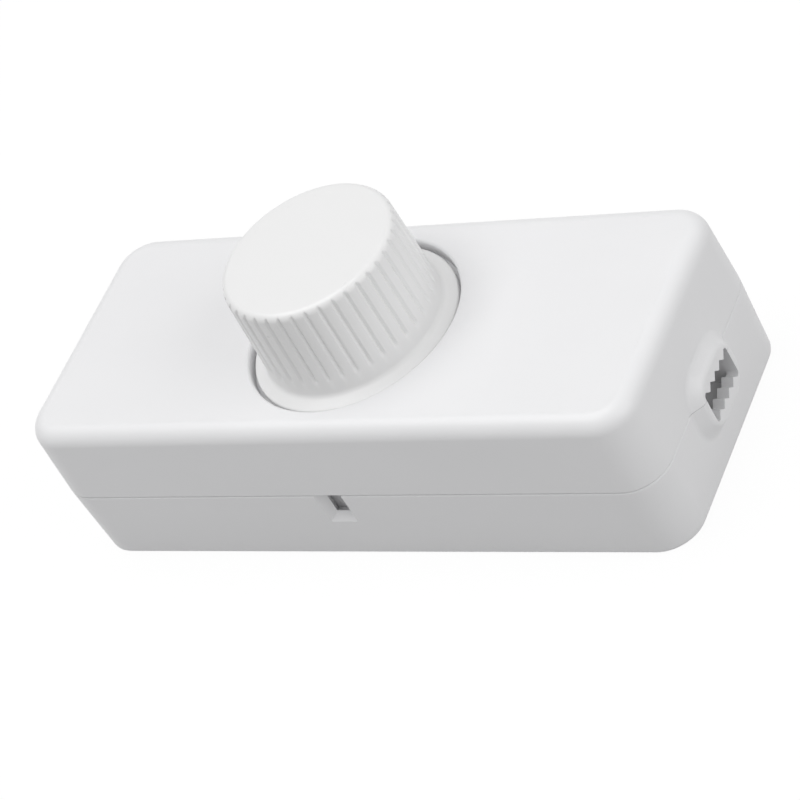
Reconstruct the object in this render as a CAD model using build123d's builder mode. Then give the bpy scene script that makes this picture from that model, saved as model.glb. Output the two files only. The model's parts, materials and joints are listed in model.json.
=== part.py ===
"""Inline rotary dimmer for a lamp cord: two snapped shells, a fluted knob and its works.

Millimetres. +X runs along the cord towards the lamp, +Z is up, and the origin is the
middle of the flat underside.
"""
from build123d import *
import os
from math import atan, degrees, radians, sqrt, tan

os.makedirs("parts", exist_ok=True)

# Housing
body_length = 88.0
body_width = 36.0
body_height = 22.6
split_height = 11.2
corner_radius = 5.0
wall = 2.0
floor_thickness = 2.0
roof_thickness = 2.0
cover_draft = 1.6
base_draft = 1.4
top_edge_radius = 2.2
bottom_edge_radius = 0.5
seam_gap = 0.12

# Tongue of the cover inside the rim of the base
lip_thickness = 1.0
tongue_height = 1.6
tongue_clearance = 0.12

# Snap hooks of the cover
hook_spacing = 48.0
hook_width = 6.0
hook_thickness = 1.1
hook_reach = 5.2
hook_root = 2.2
hook_clearance = 0.25
barb_height = 1.6
barb_depth = 0.65
pocket_clearance = 0.15

# Pry notch in the front of the base
notch_right = 0.0
notch_width = 4.1
notch_height = 5.1
notch_bevel_depth = 1.0
slot_width = 2.9
slot_height = 3.8
slot_relief = 0.8

# Cord entries
cord_gap = 3.1
mouth_width = 7.9
tooth_pitch = 1.7
tooth_depth = 0.8
tooth_count = 4
tooth_length = 1.6
mouth_corner = 0.5
channel_relief = 1.6
boss_proud = 1.4
boss_rim = 1.3
boss_end_rim = 0.8
boss_slope = 1.4
boss_corner = 3.2
guide_cheek = 1.3
mouth_cut_past = 1.0

# Knob dish in the cover
dish_diameter = 28.6
dish_depth = 2.0
dish_floor = 1.5
dish_wall = 1.5
dish_edge_radius = 0.4
bushing_hole_clearance = 0.15

# Knob
knob_rise = 13.15
knob_top_radius = 11.5
knob_draft = 1.9
knob_rim_radius = 1.0
knob_skirt_gap = 0.5
knob_floor_gap = 0.4
knob_skirt_edge = 0.6
knob_skirt_slope = 25.0
knob_foot_fillet = 0.8
knob_wall = 1.6
knob_hub_diameter = 10.0
knob_rib_count = 6
knob_rib_thickness = 1.0
knob_rib_drop = 3.0
bore_end_wall = 2.2
flute_count = 40
flute_radius = 0.4
flute_depth = 0.32
flute_start = 1.9
flute_fade = 0.9
flute_stop = 0.35

# Circuit board and what holds it
board_end_margin = 1.0
board_side_gap = 1.7
board_thickness = 1.6
board_corner = 1.0
post_height = 3.0
post_diameter = 5.0
post_inset_x = 3.0
post_inset_y = 2.3
peg_diameter = 1.8
peg_rise = 0.8
board_screw_diameter = 2.2
board_screw_length = 4.0
board_screw_head = 4.2
board_screw_head_height = 1.5
board_screw_head_edge = 0.4
board_screw_cross = 2.5
board_screw_slot = 0.6
board_screw_slot_depth = 0.7
fit_clearance = 0.05
board_hole_clearance = 0.2

# Cord clamps
clamp_board_gap = 0.8
clamp_guide_gap = 0.4
clamp_bar_length = 22.4
clamp_bar_width = 5.6
clamp_bar_thickness = 2.4
clamp_bar_corner = 1.5
clamp_bar_height = 10.9
clamp_screw_spacing = 17.0
clamp_screw_diameter = 2.6
clamp_screw_length = 8.0
clamp_screw_head = 5.0
clamp_screw_head_height = 1.8
clamp_screw_head_edge = 0.5
clamp_screw_cross = 3.4
clamp_screw_slot = 0.7
clamp_screw_slot_depth = 0.8
clamp_post_diameter = 5.6
clamp_rib_depth = 0.5
clamp_rib_spacing = 1.8
saddle_thickness = 2.0

# Terminal blocks
block_sink_gap = 0.6
block_depth = 8.0
block_width = 10.6
block_height = 9.5
block_edge = 0.5
pole_spacing = 5.2
cage_size = 3.8
cage_length = 6.0
cage_bottom = 1.3
cage_setback = 1.0
wire_bore = 2.5
terminal_screw_diameter = 2.5
terminal_screw_head = 3.2
terminal_screw_head_height = 1.6
terminal_screw_open = 0.3
terminal_screw_slot = 0.6
terminal_screw_slot_depth = 0.8
terminal_pin_diameter = 1.1

# Neutral link under the board
link_width = 1.2
link_eye_diameter = 2.0
link_thickness = 0.8

# Leads of the small components
lead_diameter = 0.6
lead_tail = 1.2
lead_hole_clearance = 0.12

# Triac on its heat sink
triac_pot_gap = 0.8
triac_y = -4.0
triac_width = 10.0
triac_length = 9.3
triac_thickness = 4.4
triac_edge = 0.4
tab_length = 6.3
tab_thickness = 1.3
tab_hole_diameter = 3.4
tab_hole_from_end = 2.8
triac_lead_pitch = 2.54
triac_lead_reach = 2.6
triac_lead_height = 2.4
sink_thickness = 1.2
sink_length = 18.8
sink_width = 11.4
sink_fin_height = 11.0
sink_edge = 1.4
sink_front_edge = 0.4
sink_screw_diameter = 3.0
sink_screw_head = 5.6
sink_screw_head_height = 2.0
sink_screw_head_edge = 0.6
sink_screw_slot = 0.8
sink_screw_slot_depth = 1.0
sink_nut_width = 5.5
sink_nut_thickness = 2.0

# Choke
choke_block_gap = 0.8
choke_edge_gap = 0.9
choke_diameter = 10.0
choke_dish_gap = 2.2
choke_flange = 1.2
choke_core_diameter = 5.0
choke_winding_diameter = 9.2
choke_lead_spacing = 5.0

# Capacitors, fuse, resistors and diac
filter_shift = 0.45
filter_edge_gap = 0.15
filter_length = 10.0
filter_depth = 5.0
filter_dish_gap = 0.5
filter_edge = 0.5
filter_lead_spacing = 7.5
timing_x = 3.6
timing_edge_gap = 0.25
timing_length = 7.2
timing_depth = 2.5
timing_height = 6.5
timing_edge = 0.4
timing_lead_spacing = 5.0
standoff = 0.3
fuse_shift = 3.1
fuse_edge_gap = 0.4
fuse_block_gap = 0.2
fuse_height = 8.0
fuse_edge = 0.6
fuse_lead_spacing = 5.08
resistor_spacing = 12.0
resistor_edge_gap = 0.65
resistor_diameter = 2.5
resistor_length = 6.4
resistor_edge = 0.5
resistor_lead_spacing = 10.2
diac_x = -5.2
diac_edge_gap = 0.75
diac_diameter = 1.9
diac_length = 4.2
diac_edge = 0.4
diac_lead_spacing = 7.6
axial_height = 1.6
lead_bend = 0.7

# Potentiometer with its switch
pot_diameter = 16.4
switch_case_wall = 1.0
wafer_thickness = 1.2
wafer_hole = 6.4
wafer_tongue_width = 13.4
wafer_tongue_reach = 1.2
track_width = 1.8
track_thickness = 0.1
track_angle = 280.0
shell_height = 3.2
shell_wall = 0.8
shell_plate = 1.0
shell_edge = 0.4
shell_dish_gap = 0.6
bushing_diameter = 7.0
bushing_knob_gap = 1.1
shaft_diameter = 6.0
shaft_flat = 1.4
shaft_clearance = 0.05
shaft_round_above_bushing = 0.5
shaft_end_edge = 0.4
rotor_thickness = 1.2
rotor_gap = 0.3
rotor_stub = 5.4
lug_angle = 20.0
lug_reach = 0.7
lug_gap = 0.3
stop_middle = -90.0
stop_margin = 0.5
stop_depth = 0.7
travel = 300.0
wiper_width = 1.4
wiper_thickness = 0.3
wiper_nub = 0.8
wiper_gap = 0.05
cam_case_gap = 3.0
cam_width = 2.4
cam_drop = 0.2
cam_rise = 0.5
pot_pin_spacing = 5.0
pot_pin_width = 1.0
pot_pin_thickness = 0.3
blade_thickness = 0.3
blade_gap = 0.25
blade_height = 2.3
contact_gap = 0.5
contact_thickness = 0.6
contact_case_gap = 0.1
switch_pin_width = 0.9

# Heights and half sizes that several pieces share
half_length = body_length / 2
half_width = body_width / 2
seam_top = split_height + seam_gap
board_bottom = floor_thickness + post_height
board_top = board_bottom + board_thickness
board_width = body_width - 2 * wall - 2 * board_side_gap
board_edge = board_width / 2
entry_height = split_height - cord_gap / 2
mouth_height = cord_gap + 2 * tooth_depth
dish_bottom = body_height - dish_depth
dish_underside = dish_bottom - dish_floor
lead_bottom = board_bottom - lead_tail
shell_top = dish_underside - shell_dish_gap
wafer_top = shell_top - shell_height
wafer_bottom = wafer_top - wafer_thickness
case_floor = board_top + switch_case_wall
cam_bottom = case_floor + cam_rise
blade_top = cam_bottom + blade_height
cam_top = blade_top - cam_drop
cavity_top = shell_top - shell_plate
rotor_top = cavity_top - rotor_gap
rotor_bottom = rotor_top - rotor_thickness
knob_underside = dish_bottom + knob_floor_gap
knob_top = body_height + knob_rise
shaft_top = knob_top - bore_end_wall
bushing_top = knob_underside - bushing_knob_gap
shaft_flat_start = bushing_top + shaft_round_above_bushing
case_radius = pot_diameter / 2 - switch_case_wall
cavity_radius = pot_diameter / 2 - shell_wall
rotor_radius = cavity_radius - lug_reach - lug_gap
track_inner = rotor_radius - track_width
cam_radius = case_radius - cam_case_gap
sink_top = board_top + sink_thickness
hook_outer = half_width - wall - hook_clearance
hook_inner = hook_outer - hook_thickness
barb_bottom = seam_top - hook_reach
pocket_back = hook_outer + barb_depth + pocket_clearance

# Places along the board, from the potentiometer outwards to the cord guides
triac_x = -(pot_diameter / 2 + triac_pot_gap + triac_width / 2)
block_inner = triac_width / 2 + sink_edge + block_sink_gap - triac_x
block_offset = block_inner + block_depth / 2
board_length = 2 * (block_inner + block_depth + board_end_margin)
clamp_offset = board_length / 2 + clamp_board_gap + clamp_bar_width / 2
guide_depth = half_length - wall - clamp_guide_gap - clamp_bar_width / 2 - clamp_offset
post_spacing_x = board_length - 2 * post_inset_x
choke_x = block_inner - choke_block_gap - choke_diameter / 2
fuse_x = block_offset - fuse_shift

# Places across the board, from its long edges inwards, and what stands under the dish
post_spacing_y = board_width - 2 * post_inset_y
fuse_diameter = board_edge - fuse_edge_gap - fuse_block_gap - block_width / 2
fuse_y = fuse_edge_gap + fuse_diameter / 2 - board_edge
filter_x = (pot_diameter / 2 + fuse_x - fuse_diameter / 2) / 2 - filter_shift
filter_y = filter_edge_gap + filter_length / 2 - board_edge
timing_y = timing_edge_gap + timing_depth / 2 - board_edge
diac_y = diac_edge_gap + diac_diameter / 2 - board_edge
choke_y = board_edge - choke_edge_gap - choke_diameter / 2
resistor_y = board_edge - resistor_edge_gap - resistor_diameter / 2
choke_height = dish_underside - choke_dish_gap - board_top
filter_height = dish_underside - filter_dish_gap - board_top - standoff

# Where leads and pins pass through the board
triac_lead_y = triac_y - triac_length / 2 - triac_lead_reach
pot_pin_y = -(pot_diameter / 2 + wafer_tongue_reach - pot_pin_thickness)
blade_y = cam_radius + blade_gap
blade_chord = sqrt(case_radius ** 2 - (blade_y + blade_thickness) ** 2)
contact_offset = blade_chord - contact_case_gap - switch_pin_width / 2
blade_pin_x = -contact_offset
screw_posts = [(post_spacing_x / 2, post_spacing_y / 2), (-post_spacing_x / 2, -post_spacing_y / 2)]
peg_posts = [(-post_spacing_x / 2, post_spacing_y / 2), (post_spacing_x / 2, -post_spacing_y / 2)]
terminal_pins = [(sx * block_offset, sy * pole_spacing / 2) for sx in (-1, 1) for sy in (-1, 1)]
straight_leads = [
    (choke_x, choke_y - choke_lead_spacing / 2),
    (choke_x, choke_y + choke_lead_spacing / 2),
    (filter_x, filter_y - filter_lead_spacing / 2),
    (filter_x, filter_y + filter_lead_spacing / 2),
    (timing_x - timing_lead_spacing / 2, timing_y),
    (timing_x + timing_lead_spacing / 2, timing_y),
    (fuse_x - fuse_lead_spacing / 2, fuse_y),
    (fuse_x + fuse_lead_spacing / 2, fuse_y),
]
resistor_centres = [(-resistor_spacing / 2, resistor_y), (resistor_spacing / 2, resistor_y)]
axial_parts = [(x, y, resistor_length, resistor_lead_spacing) for x, y in resistor_centres]
axial_parts.append((diac_x, diac_y, diac_length, diac_lead_spacing))
axial_leads = [(x + s * pitch / 2, y) for x, y, length, pitch in axial_parts for s in (-1, 1)]
triac_leads_at = [(triac_x + k * triac_lead_pitch, triac_lead_y) for k in (-1, 0, 1)]
pot_pins_at = [(k * pot_pin_spacing, pot_pin_y) for k in (-1, 0, 1)]
contact_y = blade_y - contact_gap - contact_thickness / 2
switch_pins_at = [(blade_pin_x, blade_y + blade_thickness / 2), (contact_offset, contact_y)]
screw_at_tab = (triac_x, triac_y + triac_length / 2 + tab_length - tab_hole_from_end)


def mouth_points():
    """Corners (y, z) of a cord mouth with teeth above and below."""
    half = mouth_width / 2
    root = mouth_height / 2
    tip = cord_gap / 2
    first = -tooth_count * tooth_pitch / 2
    upper = [(-half, root)]
    for k in range(tooth_count):
        upper.append((first + k * tooth_pitch, root))
        upper.append((first + (k + 0.5) * tooth_pitch, tip))
    upper.append((first + tooth_count * tooth_pitch, root))
    upper.append((half, root))
    lower = [(y, -z) for y, z in reversed(upper)]
    return [(y, entry_height + z) for y, z in upper + lower]


# Outside of a cord entry: a raised boss with sloping sides, and the guide behind the wall
boss_width = mouth_width + 2 * (boss_end_rim + boss_slope)
boss_height = mouth_height + 2 * (boss_rim + boss_slope)
with BuildPart() as entry_block:
    with BuildSketch(Plane.YZ.offset(half_length - wall)):
        with Locations((0, entry_height)):
            RectangleRounded(boss_width, boss_height, boss_corner + boss_slope)
    extrude(amount=wall)
    with BuildSketch(Plane.YZ.offset(half_length)):
        with Locations((0, entry_height)):
            RectangleRounded(boss_width, boss_height, boss_corner + boss_slope)
    extrude(amount=boss_proud, taper=degrees(atan(boss_slope / boss_proud)))
    with BuildSketch(Plane.YZ.offset(half_length - wall - guide_depth)):
        with Locations((0, body_height / 2)):
            Rectangle(mouth_width + 2 * guide_cheek, body_height - floor_thickness - roof_thickness)
    extrude(amount=guide_depth + wall / 2)

# The toothed mouth in the front of the boss, and the wider channel behind it
with BuildPart() as mouth_cutter:
    with BuildSketch(Plane.YZ.offset(half_length + boss_proud - tooth_length)):
        with BuildLine():
            Polyline(*mouth_points(), close=True)
        make_face()
        fillet(vertices().group_by(Axis.X)[0] + vertices().group_by(Axis.X)[-1], mouth_corner)
    extrude(amount=tooth_length + mouth_cut_past)
    with BuildSketch(Plane.YZ.offset(half_length - wall - guide_depth)):
        with Locations((0, entry_height)):
            Rectangle(mouth_width, mouth_height + 2 * channel_relief)
    extrude(amount=guide_depth + wall + boss_proud - tooth_length)

# Base shell
with BuildPart() as base_shell:
    with BuildSketch(Plane(origin=(0, 0, split_height), z_dir=(0, 0, -1))):
        RectangleRounded(body_length, body_width, corner_radius)
    extrude(amount=split_height, taper=base_draft)
    fillet(base_shell.edges().group_by(Axis.Z)[0], bottom_edge_radius)
    with BuildSketch(Plane(origin=(0, 0, split_height), z_dir=(0, 0, -1))):
        RectangleRounded(body_length - 2 * wall, body_width - 2 * wall, corner_radius - wall)
    extrude(amount=split_height - floor_thickness, taper=base_draft, mode=Mode.SUBTRACT)
    with PolarLocations(0, 2):
        add(entry_block.part)
    split(bisect_by=Plane.XY.offset(split_height), keep=Keep.BOTTOM)
    with BuildSketch(Plane.XY.offset(split_height - tongue_height - tongue_clearance)):
        RectangleRounded(body_length - 2 * lip_thickness, body_width - 2 * lip_thickness,
                         corner_radius - lip_thickness)
        Rectangle(body_length, boss_width, mode=Mode.SUBTRACT)
    extrude(amount=tongue_height + tongue_clearance, mode=Mode.SUBTRACT)
    with PolarLocations(0, 2):
        add(mouth_cutter.part, mode=Mode.SUBTRACT)
    with BuildSketch(Plane.XY.offset(floor_thickness)):
        with GridLocations(post_spacing_x, post_spacing_y, 2, 2):
            Circle(post_diameter / 2)
    extrude(amount=post_height)
    with BuildSketch(Plane.XY.offset(board_bottom)):
        with Locations(*peg_posts):
            Circle(peg_diameter / 2)
    extrude(amount=board_thickness + peg_rise)
    with BuildSketch(Plane.XY.offset(board_bottom)):
        with Locations(*screw_posts):
            Circle(board_screw_diameter / 2 + fit_clearance)
    extrude(amount=-(board_screw_length - board_thickness + fit_clearance), mode=Mode.SUBTRACT)
    with BuildSketch(Plane.XY.offset(floor_thickness)):
        with GridLocations(2 * clamp_offset, clamp_screw_spacing, 2, 2):
            Circle(clamp_post_diameter / 2)
    extrude(amount=clamp_bar_height - floor_thickness)
    with BuildSketch(Plane.XY.offset(clamp_bar_height)):
        with GridLocations(2 * clamp_offset, clamp_screw_spacing, 2, 2):
            Circle(clamp_screw_diameter / 2 + fit_clearance)
    extrude(amount=-(clamp_screw_length - clamp_bar_thickness + fit_clearance), mode=Mode.SUBTRACT)
    with BuildSketch(Plane.XY.offset(floor_thickness)):
        with GridLocations(2 * clamp_offset, 0, 2, 1):
            Rectangle(saddle_thickness, mouth_width)
    extrude(amount=entry_height - cord_gap / 2 - floor_thickness)
    for side in (-1, 1):
        with BuildSketch(Plane.XY.offset(barb_bottom - pocket_clearance)):
            with GridLocations(hook_spacing, 0, 2, 1):
                with Locations((0, side * (hook_outer + pocket_back) / 2)):
                    Rectangle(hook_width + 2 * hook_clearance, pocket_back - hook_outer)
        extrude(amount=barb_height + 2 * pocket_clearance, mode=Mode.SUBTRACT)
    with BuildSketch(Plane.XZ.offset(half_width)):
        with Locations((notch_right, split_height)):
            Rectangle(notch_width, notch_height, align=Align.MAX)
    with BuildSketch(Plane.XZ.offset(half_width - notch_bevel_depth)):
        with Locations((notch_right, split_height)):
            Rectangle(slot_width, slot_height, align=Align.MAX)
    loft(mode=Mode.SUBTRACT)
    with BuildSketch(Plane.XZ.offset(half_width - notch_bevel_depth)):
        with Locations((notch_right, split_height)):
            Rectangle(slot_width + slot_relief, slot_height + slot_relief, align=Align.MAX)
    extrude(amount=-wall, mode=Mode.SUBTRACT)
base_shell.part.label = "base_shell"
export_step(base_shell.part, "parts/base_shell.step")

# One snap hook, hanging inside the back wall from the rim of the cover
with BuildPart() as snap_hook:
    with BuildSketch(Plane.YZ.offset(-hook_width / 2)):
        with BuildLine():
            Polyline(
                (hook_inner, seam_top + hook_root),
                (hook_inner, barb_bottom),
                (hook_outer, barb_bottom),
                (hook_outer + barb_depth, barb_bottom + barb_depth),
                (hook_outer + barb_depth, barb_bottom + barb_height),
                (hook_outer, barb_bottom + barb_height),
                (hook_outer, seam_top),
                (half_width - wall + fit_clearance, seam_top),
                (half_width - wall + fit_clearance, seam_top + hook_root),
                close=True,
            )
        make_face()
    extrude(amount=hook_width)

# Top cover with the knob's dish
with BuildPart() as top_cover:
    with BuildSketch(Plane.XY.offset(split_height)):
        RectangleRounded(body_length, body_width, corner_radius)
    extrude(amount=body_height - split_height, taper=cover_draft)
    fillet(top_cover.edges().group_by(Axis.Z)[-1], top_edge_radius)
    with BuildSketch(Plane.XY.offset(split_height)):
        RectangleRounded(body_length - 2 * wall, body_width - 2 * wall, corner_radius - wall)
    extrude(amount=body_height - roof_thickness - split_height, taper=cover_draft, mode=Mode.SUBTRACT)
    with BuildSketch(Plane.XY.offset(dish_underside)):
        Circle(dish_diameter / 2 + dish_wall)
    extrude(amount=body_height - roof_thickness - dish_underside)
    with BuildSketch(Plane.XY.offset(body_height)):
        Circle(dish_diameter / 2)
    extrude(amount=-dish_depth, mode=Mode.SUBTRACT)
    fillet(top_cover.edges().filter_by(GeomType.CIRCLE).group_by(Axis.Z)[-1], dish_edge_radius)
    with PolarLocations(0, 2):
        add(entry_block.part)
    split(bisect_by=Plane.XY.offset(seam_top), keep=Keep.TOP)
    with BuildSketch(Plane.XY.offset(dish_underside)):
        Circle(bushing_diameter / 2 + bushing_hole_clearance)
    extrude(amount=dish_floor, mode=Mode.SUBTRACT)
    with PolarLocations(0, 2):
        add(mouth_cutter.part, mode=Mode.SUBTRACT)
    with BuildSketch(Plane.XY.offset(split_height - tongue_height)):
        RectangleRounded(body_length - 2 * (lip_thickness + tongue_clearance),
                         body_width - 2 * (lip_thickness + tongue_clearance),
                         corner_radius - lip_thickness - tongue_clearance)
        RectangleRounded(body_length - 2 * wall, body_width - 2 * wall, corner_radius - wall,
                         mode=Mode.SUBTRACT)
        Rectangle(body_length, boss_width + 2 * hook_clearance, mode=Mode.SUBTRACT)
        with Locations((notch_right - notch_width / 2, -half_width)):
            Rectangle(notch_width + 2 * hook_clearance, 4 * wall, mode=Mode.SUBTRACT)
    extrude(amount=tongue_height + seam_gap)
    with PolarLocations(0, 2):
        with Locations((-hook_spacing / 2, 0, 0), (hook_spacing / 2, 0, 0)):
            add(snap_hook.part)
top_cover.part.label = "top_cover"
export_step(top_cover.part, "parts/top_cover.step")

# Knob: skirt, rounded foot, tapered side and rounded rim, hollow behind
knob_foot_radius = knob_top_radius + knob_rise * tan(radians(knob_draft))
knob_skirt_radius = dish_diameter / 2 - knob_skirt_gap
skirt_top = knob_underside + knob_skirt_edge
foot_height = skirt_top + (knob_skirt_radius - knob_foot_radius) * tan(radians(knob_skirt_slope))
knob_roof = knob_top - knob_wall
flute_bottom = body_height + flute_start
flute_top = knob_top - flute_stop

with BuildPart() as flute_cutter:
    with BuildSketch(Plane.XZ):
        with BuildLine():
            Polyline((0, flute_bottom), (0, flute_top), (flute_radius, flute_top),
                     (flute_radius, flute_bottom + flute_fade), close=True)
        make_face()
    revolve(axis=Axis.Z)

first_flute = Pos(knob_foot_radius - flute_depth + flute_radius, 0, body_height)
first_flute = first_flute * Rot(0, -knob_draft, 0) * Pos(0, 0, -body_height) * flute_cutter.part

with BuildPart() as rotary_knob:
    with BuildSketch(Plane.XZ):
        with BuildLine():
            Polyline((0, knob_top), (0, knob_underside), (knob_skirt_radius, knob_underside),
                     (knob_skirt_radius, skirt_top), (knob_foot_radius, foot_height),
                     (knob_top_radius, knob_top), close=True)
        make_face()
        fillet(vertices().sort_by_distance((knob_foot_radius, foot_height))[0], knob_foot_fillet)
    revolve(axis=Axis.Z)
    fillet(rotary_knob.edges().group_by(Axis.Z)[-1], knob_rim_radius)
    with BuildSketch(Plane.XZ):
        with BuildLine():
            Polyline((0, knob_underside), (0, knob_roof), (knob_top_radius - knob_wall, knob_roof),
                     (knob_foot_radius - knob_wall, foot_height),
                     (knob_skirt_radius - knob_wall, knob_underside), close=True)
        make_face()
    revolve(axis=Axis.Z, mode=Mode.SUBTRACT)
    with BuildSketch(Plane.XY.offset(knob_underside)):
        Circle(knob_hub_diameter / 2)
    extrude(amount=knob_roof - knob_underside)
    with BuildSketch(Plane.XY.offset(body_height + knob_rib_drop)):
        with PolarLocations((knob_top_radius - knob_wall / 2) / 2, knob_rib_count):
            Rectangle(knob_top_radius - knob_wall / 2, knob_rib_thickness)
    extrude(amount=knob_roof - body_height - knob_rib_drop)
    with BuildSketch(Plane.XY.offset(knob_underside)):
        Circle(shaft_diameter / 2 + shaft_clearance)
    extrude(amount=shaft_flat_start - knob_underside, mode=Mode.SUBTRACT)
    with BuildSketch(Plane.XY.offset(shaft_flat_start)):
        Circle(shaft_diameter / 2 + shaft_clearance)
        with Locations((0, shaft_diameter - shaft_flat + shaft_clearance)):
            Rectangle(2 * shaft_diameter, shaft_diameter, mode=Mode.SUBTRACT)
    extrude(amount=shaft_top - shaft_flat_start + fit_clearance, mode=Mode.SUBTRACT)
    with PolarLocations(0, flute_count, start_angle=180 / flute_count):
        add(first_flute, mode=Mode.SUBTRACT)
rotary_knob.part.label = "rotary_knob"
export_step(rotary_knob.part, "parts/rotary_knob.step")

# Cord clamp bars, one at each end, ribbed underneath to grip the sheath
for name, side in (("cord_clamp_left", -1), ("cord_clamp_right", 1)):
    with BuildPart() as cord_clamp:
        with BuildSketch(Plane.XY.offset(clamp_bar_height)):
            with Locations((side * clamp_offset, 0)):
                RectangleRounded(clamp_bar_width, clamp_bar_length, clamp_bar_corner)
        extrude(amount=clamp_bar_thickness)
        with BuildSketch(Plane.XY.offset(clamp_bar_height)):
            with Locations((side * clamp_offset, 0)):
                with GridLocations(clamp_rib_spacing, 0, 3, 1):
                    Rectangle(clamp_rib_depth, mouth_width)
        extrude(amount=-clamp_rib_depth)
        with BuildSketch(Plane.XY.offset(clamp_bar_height)):
            with Locations((side * clamp_offset, 0)):
                with GridLocations(0, clamp_screw_spacing, 1, 2):
                    Circle(clamp_screw_diameter / 2 + board_hole_clearance)
        extrude(amount=clamp_bar_thickness, mode=Mode.SUBTRACT)
    cord_clamp.part.label = name
    export_step(cord_clamp.part, "parts/" + name + ".step")

with BuildPart() as cord_clamp_screws:
    with BuildSketch(Plane.XY.offset(clamp_bar_height + clamp_bar_thickness)):
        with GridLocations(2 * clamp_offset, clamp_screw_spacing, 2, 2):
            Circle(clamp_screw_head / 2)
    extrude(amount=clamp_screw_head_height)
    fillet(cord_clamp_screws.edges().group_by(Axis.Z)[-1], clamp_screw_head_edge)
    with BuildSketch(Plane.XY.offset(clamp_bar_height + clamp_bar_thickness)):
        with GridLocations(2 * clamp_offset, clamp_screw_spacing, 2, 2):
            Circle(clamp_screw_diameter / 2)
    extrude(amount=-clamp_screw_length)
    with BuildSketch(Plane.XY.offset(clamp_bar_height + clamp_bar_thickness + clamp_screw_head_height)):
        with GridLocations(2 * clamp_offset, clamp_screw_spacing, 2, 2):
            Rectangle(clamp_screw_cross, clamp_screw_slot)
            Rectangle(clamp_screw_slot, clamp_screw_cross)
    extrude(amount=-clamp_screw_slot_depth, mode=Mode.SUBTRACT)
cord_clamp_screws.part.label = "cord_clamp_screws"
export_step(cord_clamp_screws.part, "parts/cord_clamp_screws.step")

# Circuit board with holes for every lead, pin, peg and screw
with BuildPart() as circuit_board:
    with BuildSketch(Plane.XY.offset(board_bottom)):
        RectangleRounded(board_length, board_width, board_corner)
        with Locations(*screw_posts):
            Circle(board_screw_diameter / 2 + board_hole_clearance, mode=Mode.SUBTRACT)
        with Locations(*peg_posts):
            Circle(peg_diameter / 2 + board_hole_clearance, mode=Mode.SUBTRACT)
        with Locations(*terminal_pins):
            Circle(terminal_pin_diameter / 2 + lead_hole_clearance, mode=Mode.SUBTRACT)
        with Locations(*straight_leads, *axial_leads, *triac_leads_at):
            Circle(lead_diameter / 2 + lead_hole_clearance, mode=Mode.SUBTRACT)
        with Locations(*pot_pins_at, *switch_pins_at):
            Circle(pot_pin_width / 2 + lead_hole_clearance, mode=Mode.SUBTRACT)
        with Locations(screw_at_tab):
            Circle(sink_screw_diameter / 2 + board_hole_clearance, mode=Mode.SUBTRACT)
    extrude(amount=board_thickness)
circuit_board.part.label = "circuit_board"
export_step(circuit_board.part, "parts/circuit_board.step")

with BuildPart() as board_screws:
    with BuildSketch(Plane.XY.offset(board_top)):
        with Locations(*screw_posts):
            Circle(board_screw_head / 2)
    extrude(amount=board_screw_head_height)
    fillet(board_screws.edges().group_by(Axis.Z)[-1], board_screw_head_edge)
    with BuildSketch(Plane.XY.offset(board_top)):
        with Locations(*screw_posts):
            Circle(board_screw_diameter / 2)
    extrude(amount=-board_screw_length)
    with BuildSketch(Plane.XY.offset(board_top + board_screw_head_height)):
        with Locations(*screw_posts):
            Rectangle(board_screw_cross, board_screw_slot)
            Rectangle(board_screw_slot, board_screw_cross)
    extrude(amount=-board_screw_slot_depth, mode=Mode.SUBTRACT)
board_screws.part.label = "board_screws"
export_step(board_screws.part, "parts/board_screws.step")

# Terminal blocks, with a pocket for each clamp cage and a well over each screw
cage_centre = board_top + cage_bottom + cage_size / 2
cage_middle = block_depth / 2 - cage_length / 2 - cage_setback
for name, side in (("terminal_block_in", -1), ("terminal_block_out", 1)):
    with BuildPart() as terminal_block:
        with BuildSketch(Plane.XY.offset(board_top)):
            with Locations((side * block_offset, 0)):
                Rectangle(block_depth, block_width)
        extrude(amount=block_height)
        fillet(terminal_block.edges().filter_by(Axis.Z), block_edge)
        with BuildSketch(Plane.YZ.offset(side * (block_offset + block_depth / 2))):
            with Locations((-pole_spacing / 2, cage_centre), (pole_spacing / 2, cage_centre)):
                Rectangle(cage_size + 2 * fit_clearance, cage_size + 2 * fit_clearance)
        extrude(amount=-side * (cage_setback + cage_length + fit_clearance), mode=Mode.SUBTRACT)
        with BuildSketch(Plane.XY.offset(cage_centre)):
            with Locations((side * block_offset, 0)):
                with GridLocations(0, pole_spacing, 1, 2):
                    Circle(terminal_screw_head / 2 + board_hole_clearance)
        extrude(amount=block_height, mode=Mode.SUBTRACT)
        with BuildSketch(Plane.XY.offset(board_top)):
            with Locations((side * block_offset, 0)):
                with GridLocations(0, pole_spacing, 1, 2):
                    Circle(terminal_pin_diameter / 2 + lead_hole_clearance)
        extrude(amount=cage_bottom, mode=Mode.SUBTRACT)
    terminal_block.part.label = name
    export_step(terminal_block.part, "parts/" + name + ".step")

cage_top = cage_centre + cage_size / 2
with BuildPart() as terminal_cages:
    for side in (-1, 1):
        with BuildSketch(Plane.YZ.offset(side * (block_offset + cage_middle - cage_length / 2))):
            with Locations((-pole_spacing / 2, cage_centre), (pole_spacing / 2, cage_centre)):
                Rectangle(cage_size, cage_size)
                Circle(wire_bore / 2, mode=Mode.SUBTRACT)
        extrude(amount=side * cage_length)
    with BuildSketch(Plane.XY.offset(cage_centre)):
        with Locations(*terminal_pins):
            Circle(terminal_screw_diameter / 2 + fit_clearance)
    extrude(amount=cage_size, mode=Mode.SUBTRACT)
    with BuildSketch(Plane.XY.offset(cage_centre - cage_size / 2)):
        with Locations(*terminal_pins):
            Circle(terminal_pin_diameter / 2)
    extrude(amount=lead_bottom - cage_centre + cage_size / 2)
terminal_cages.part.label = "terminal_cages"
export_step(terminal_cages.part, "parts/terminal_cages.step")

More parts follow.
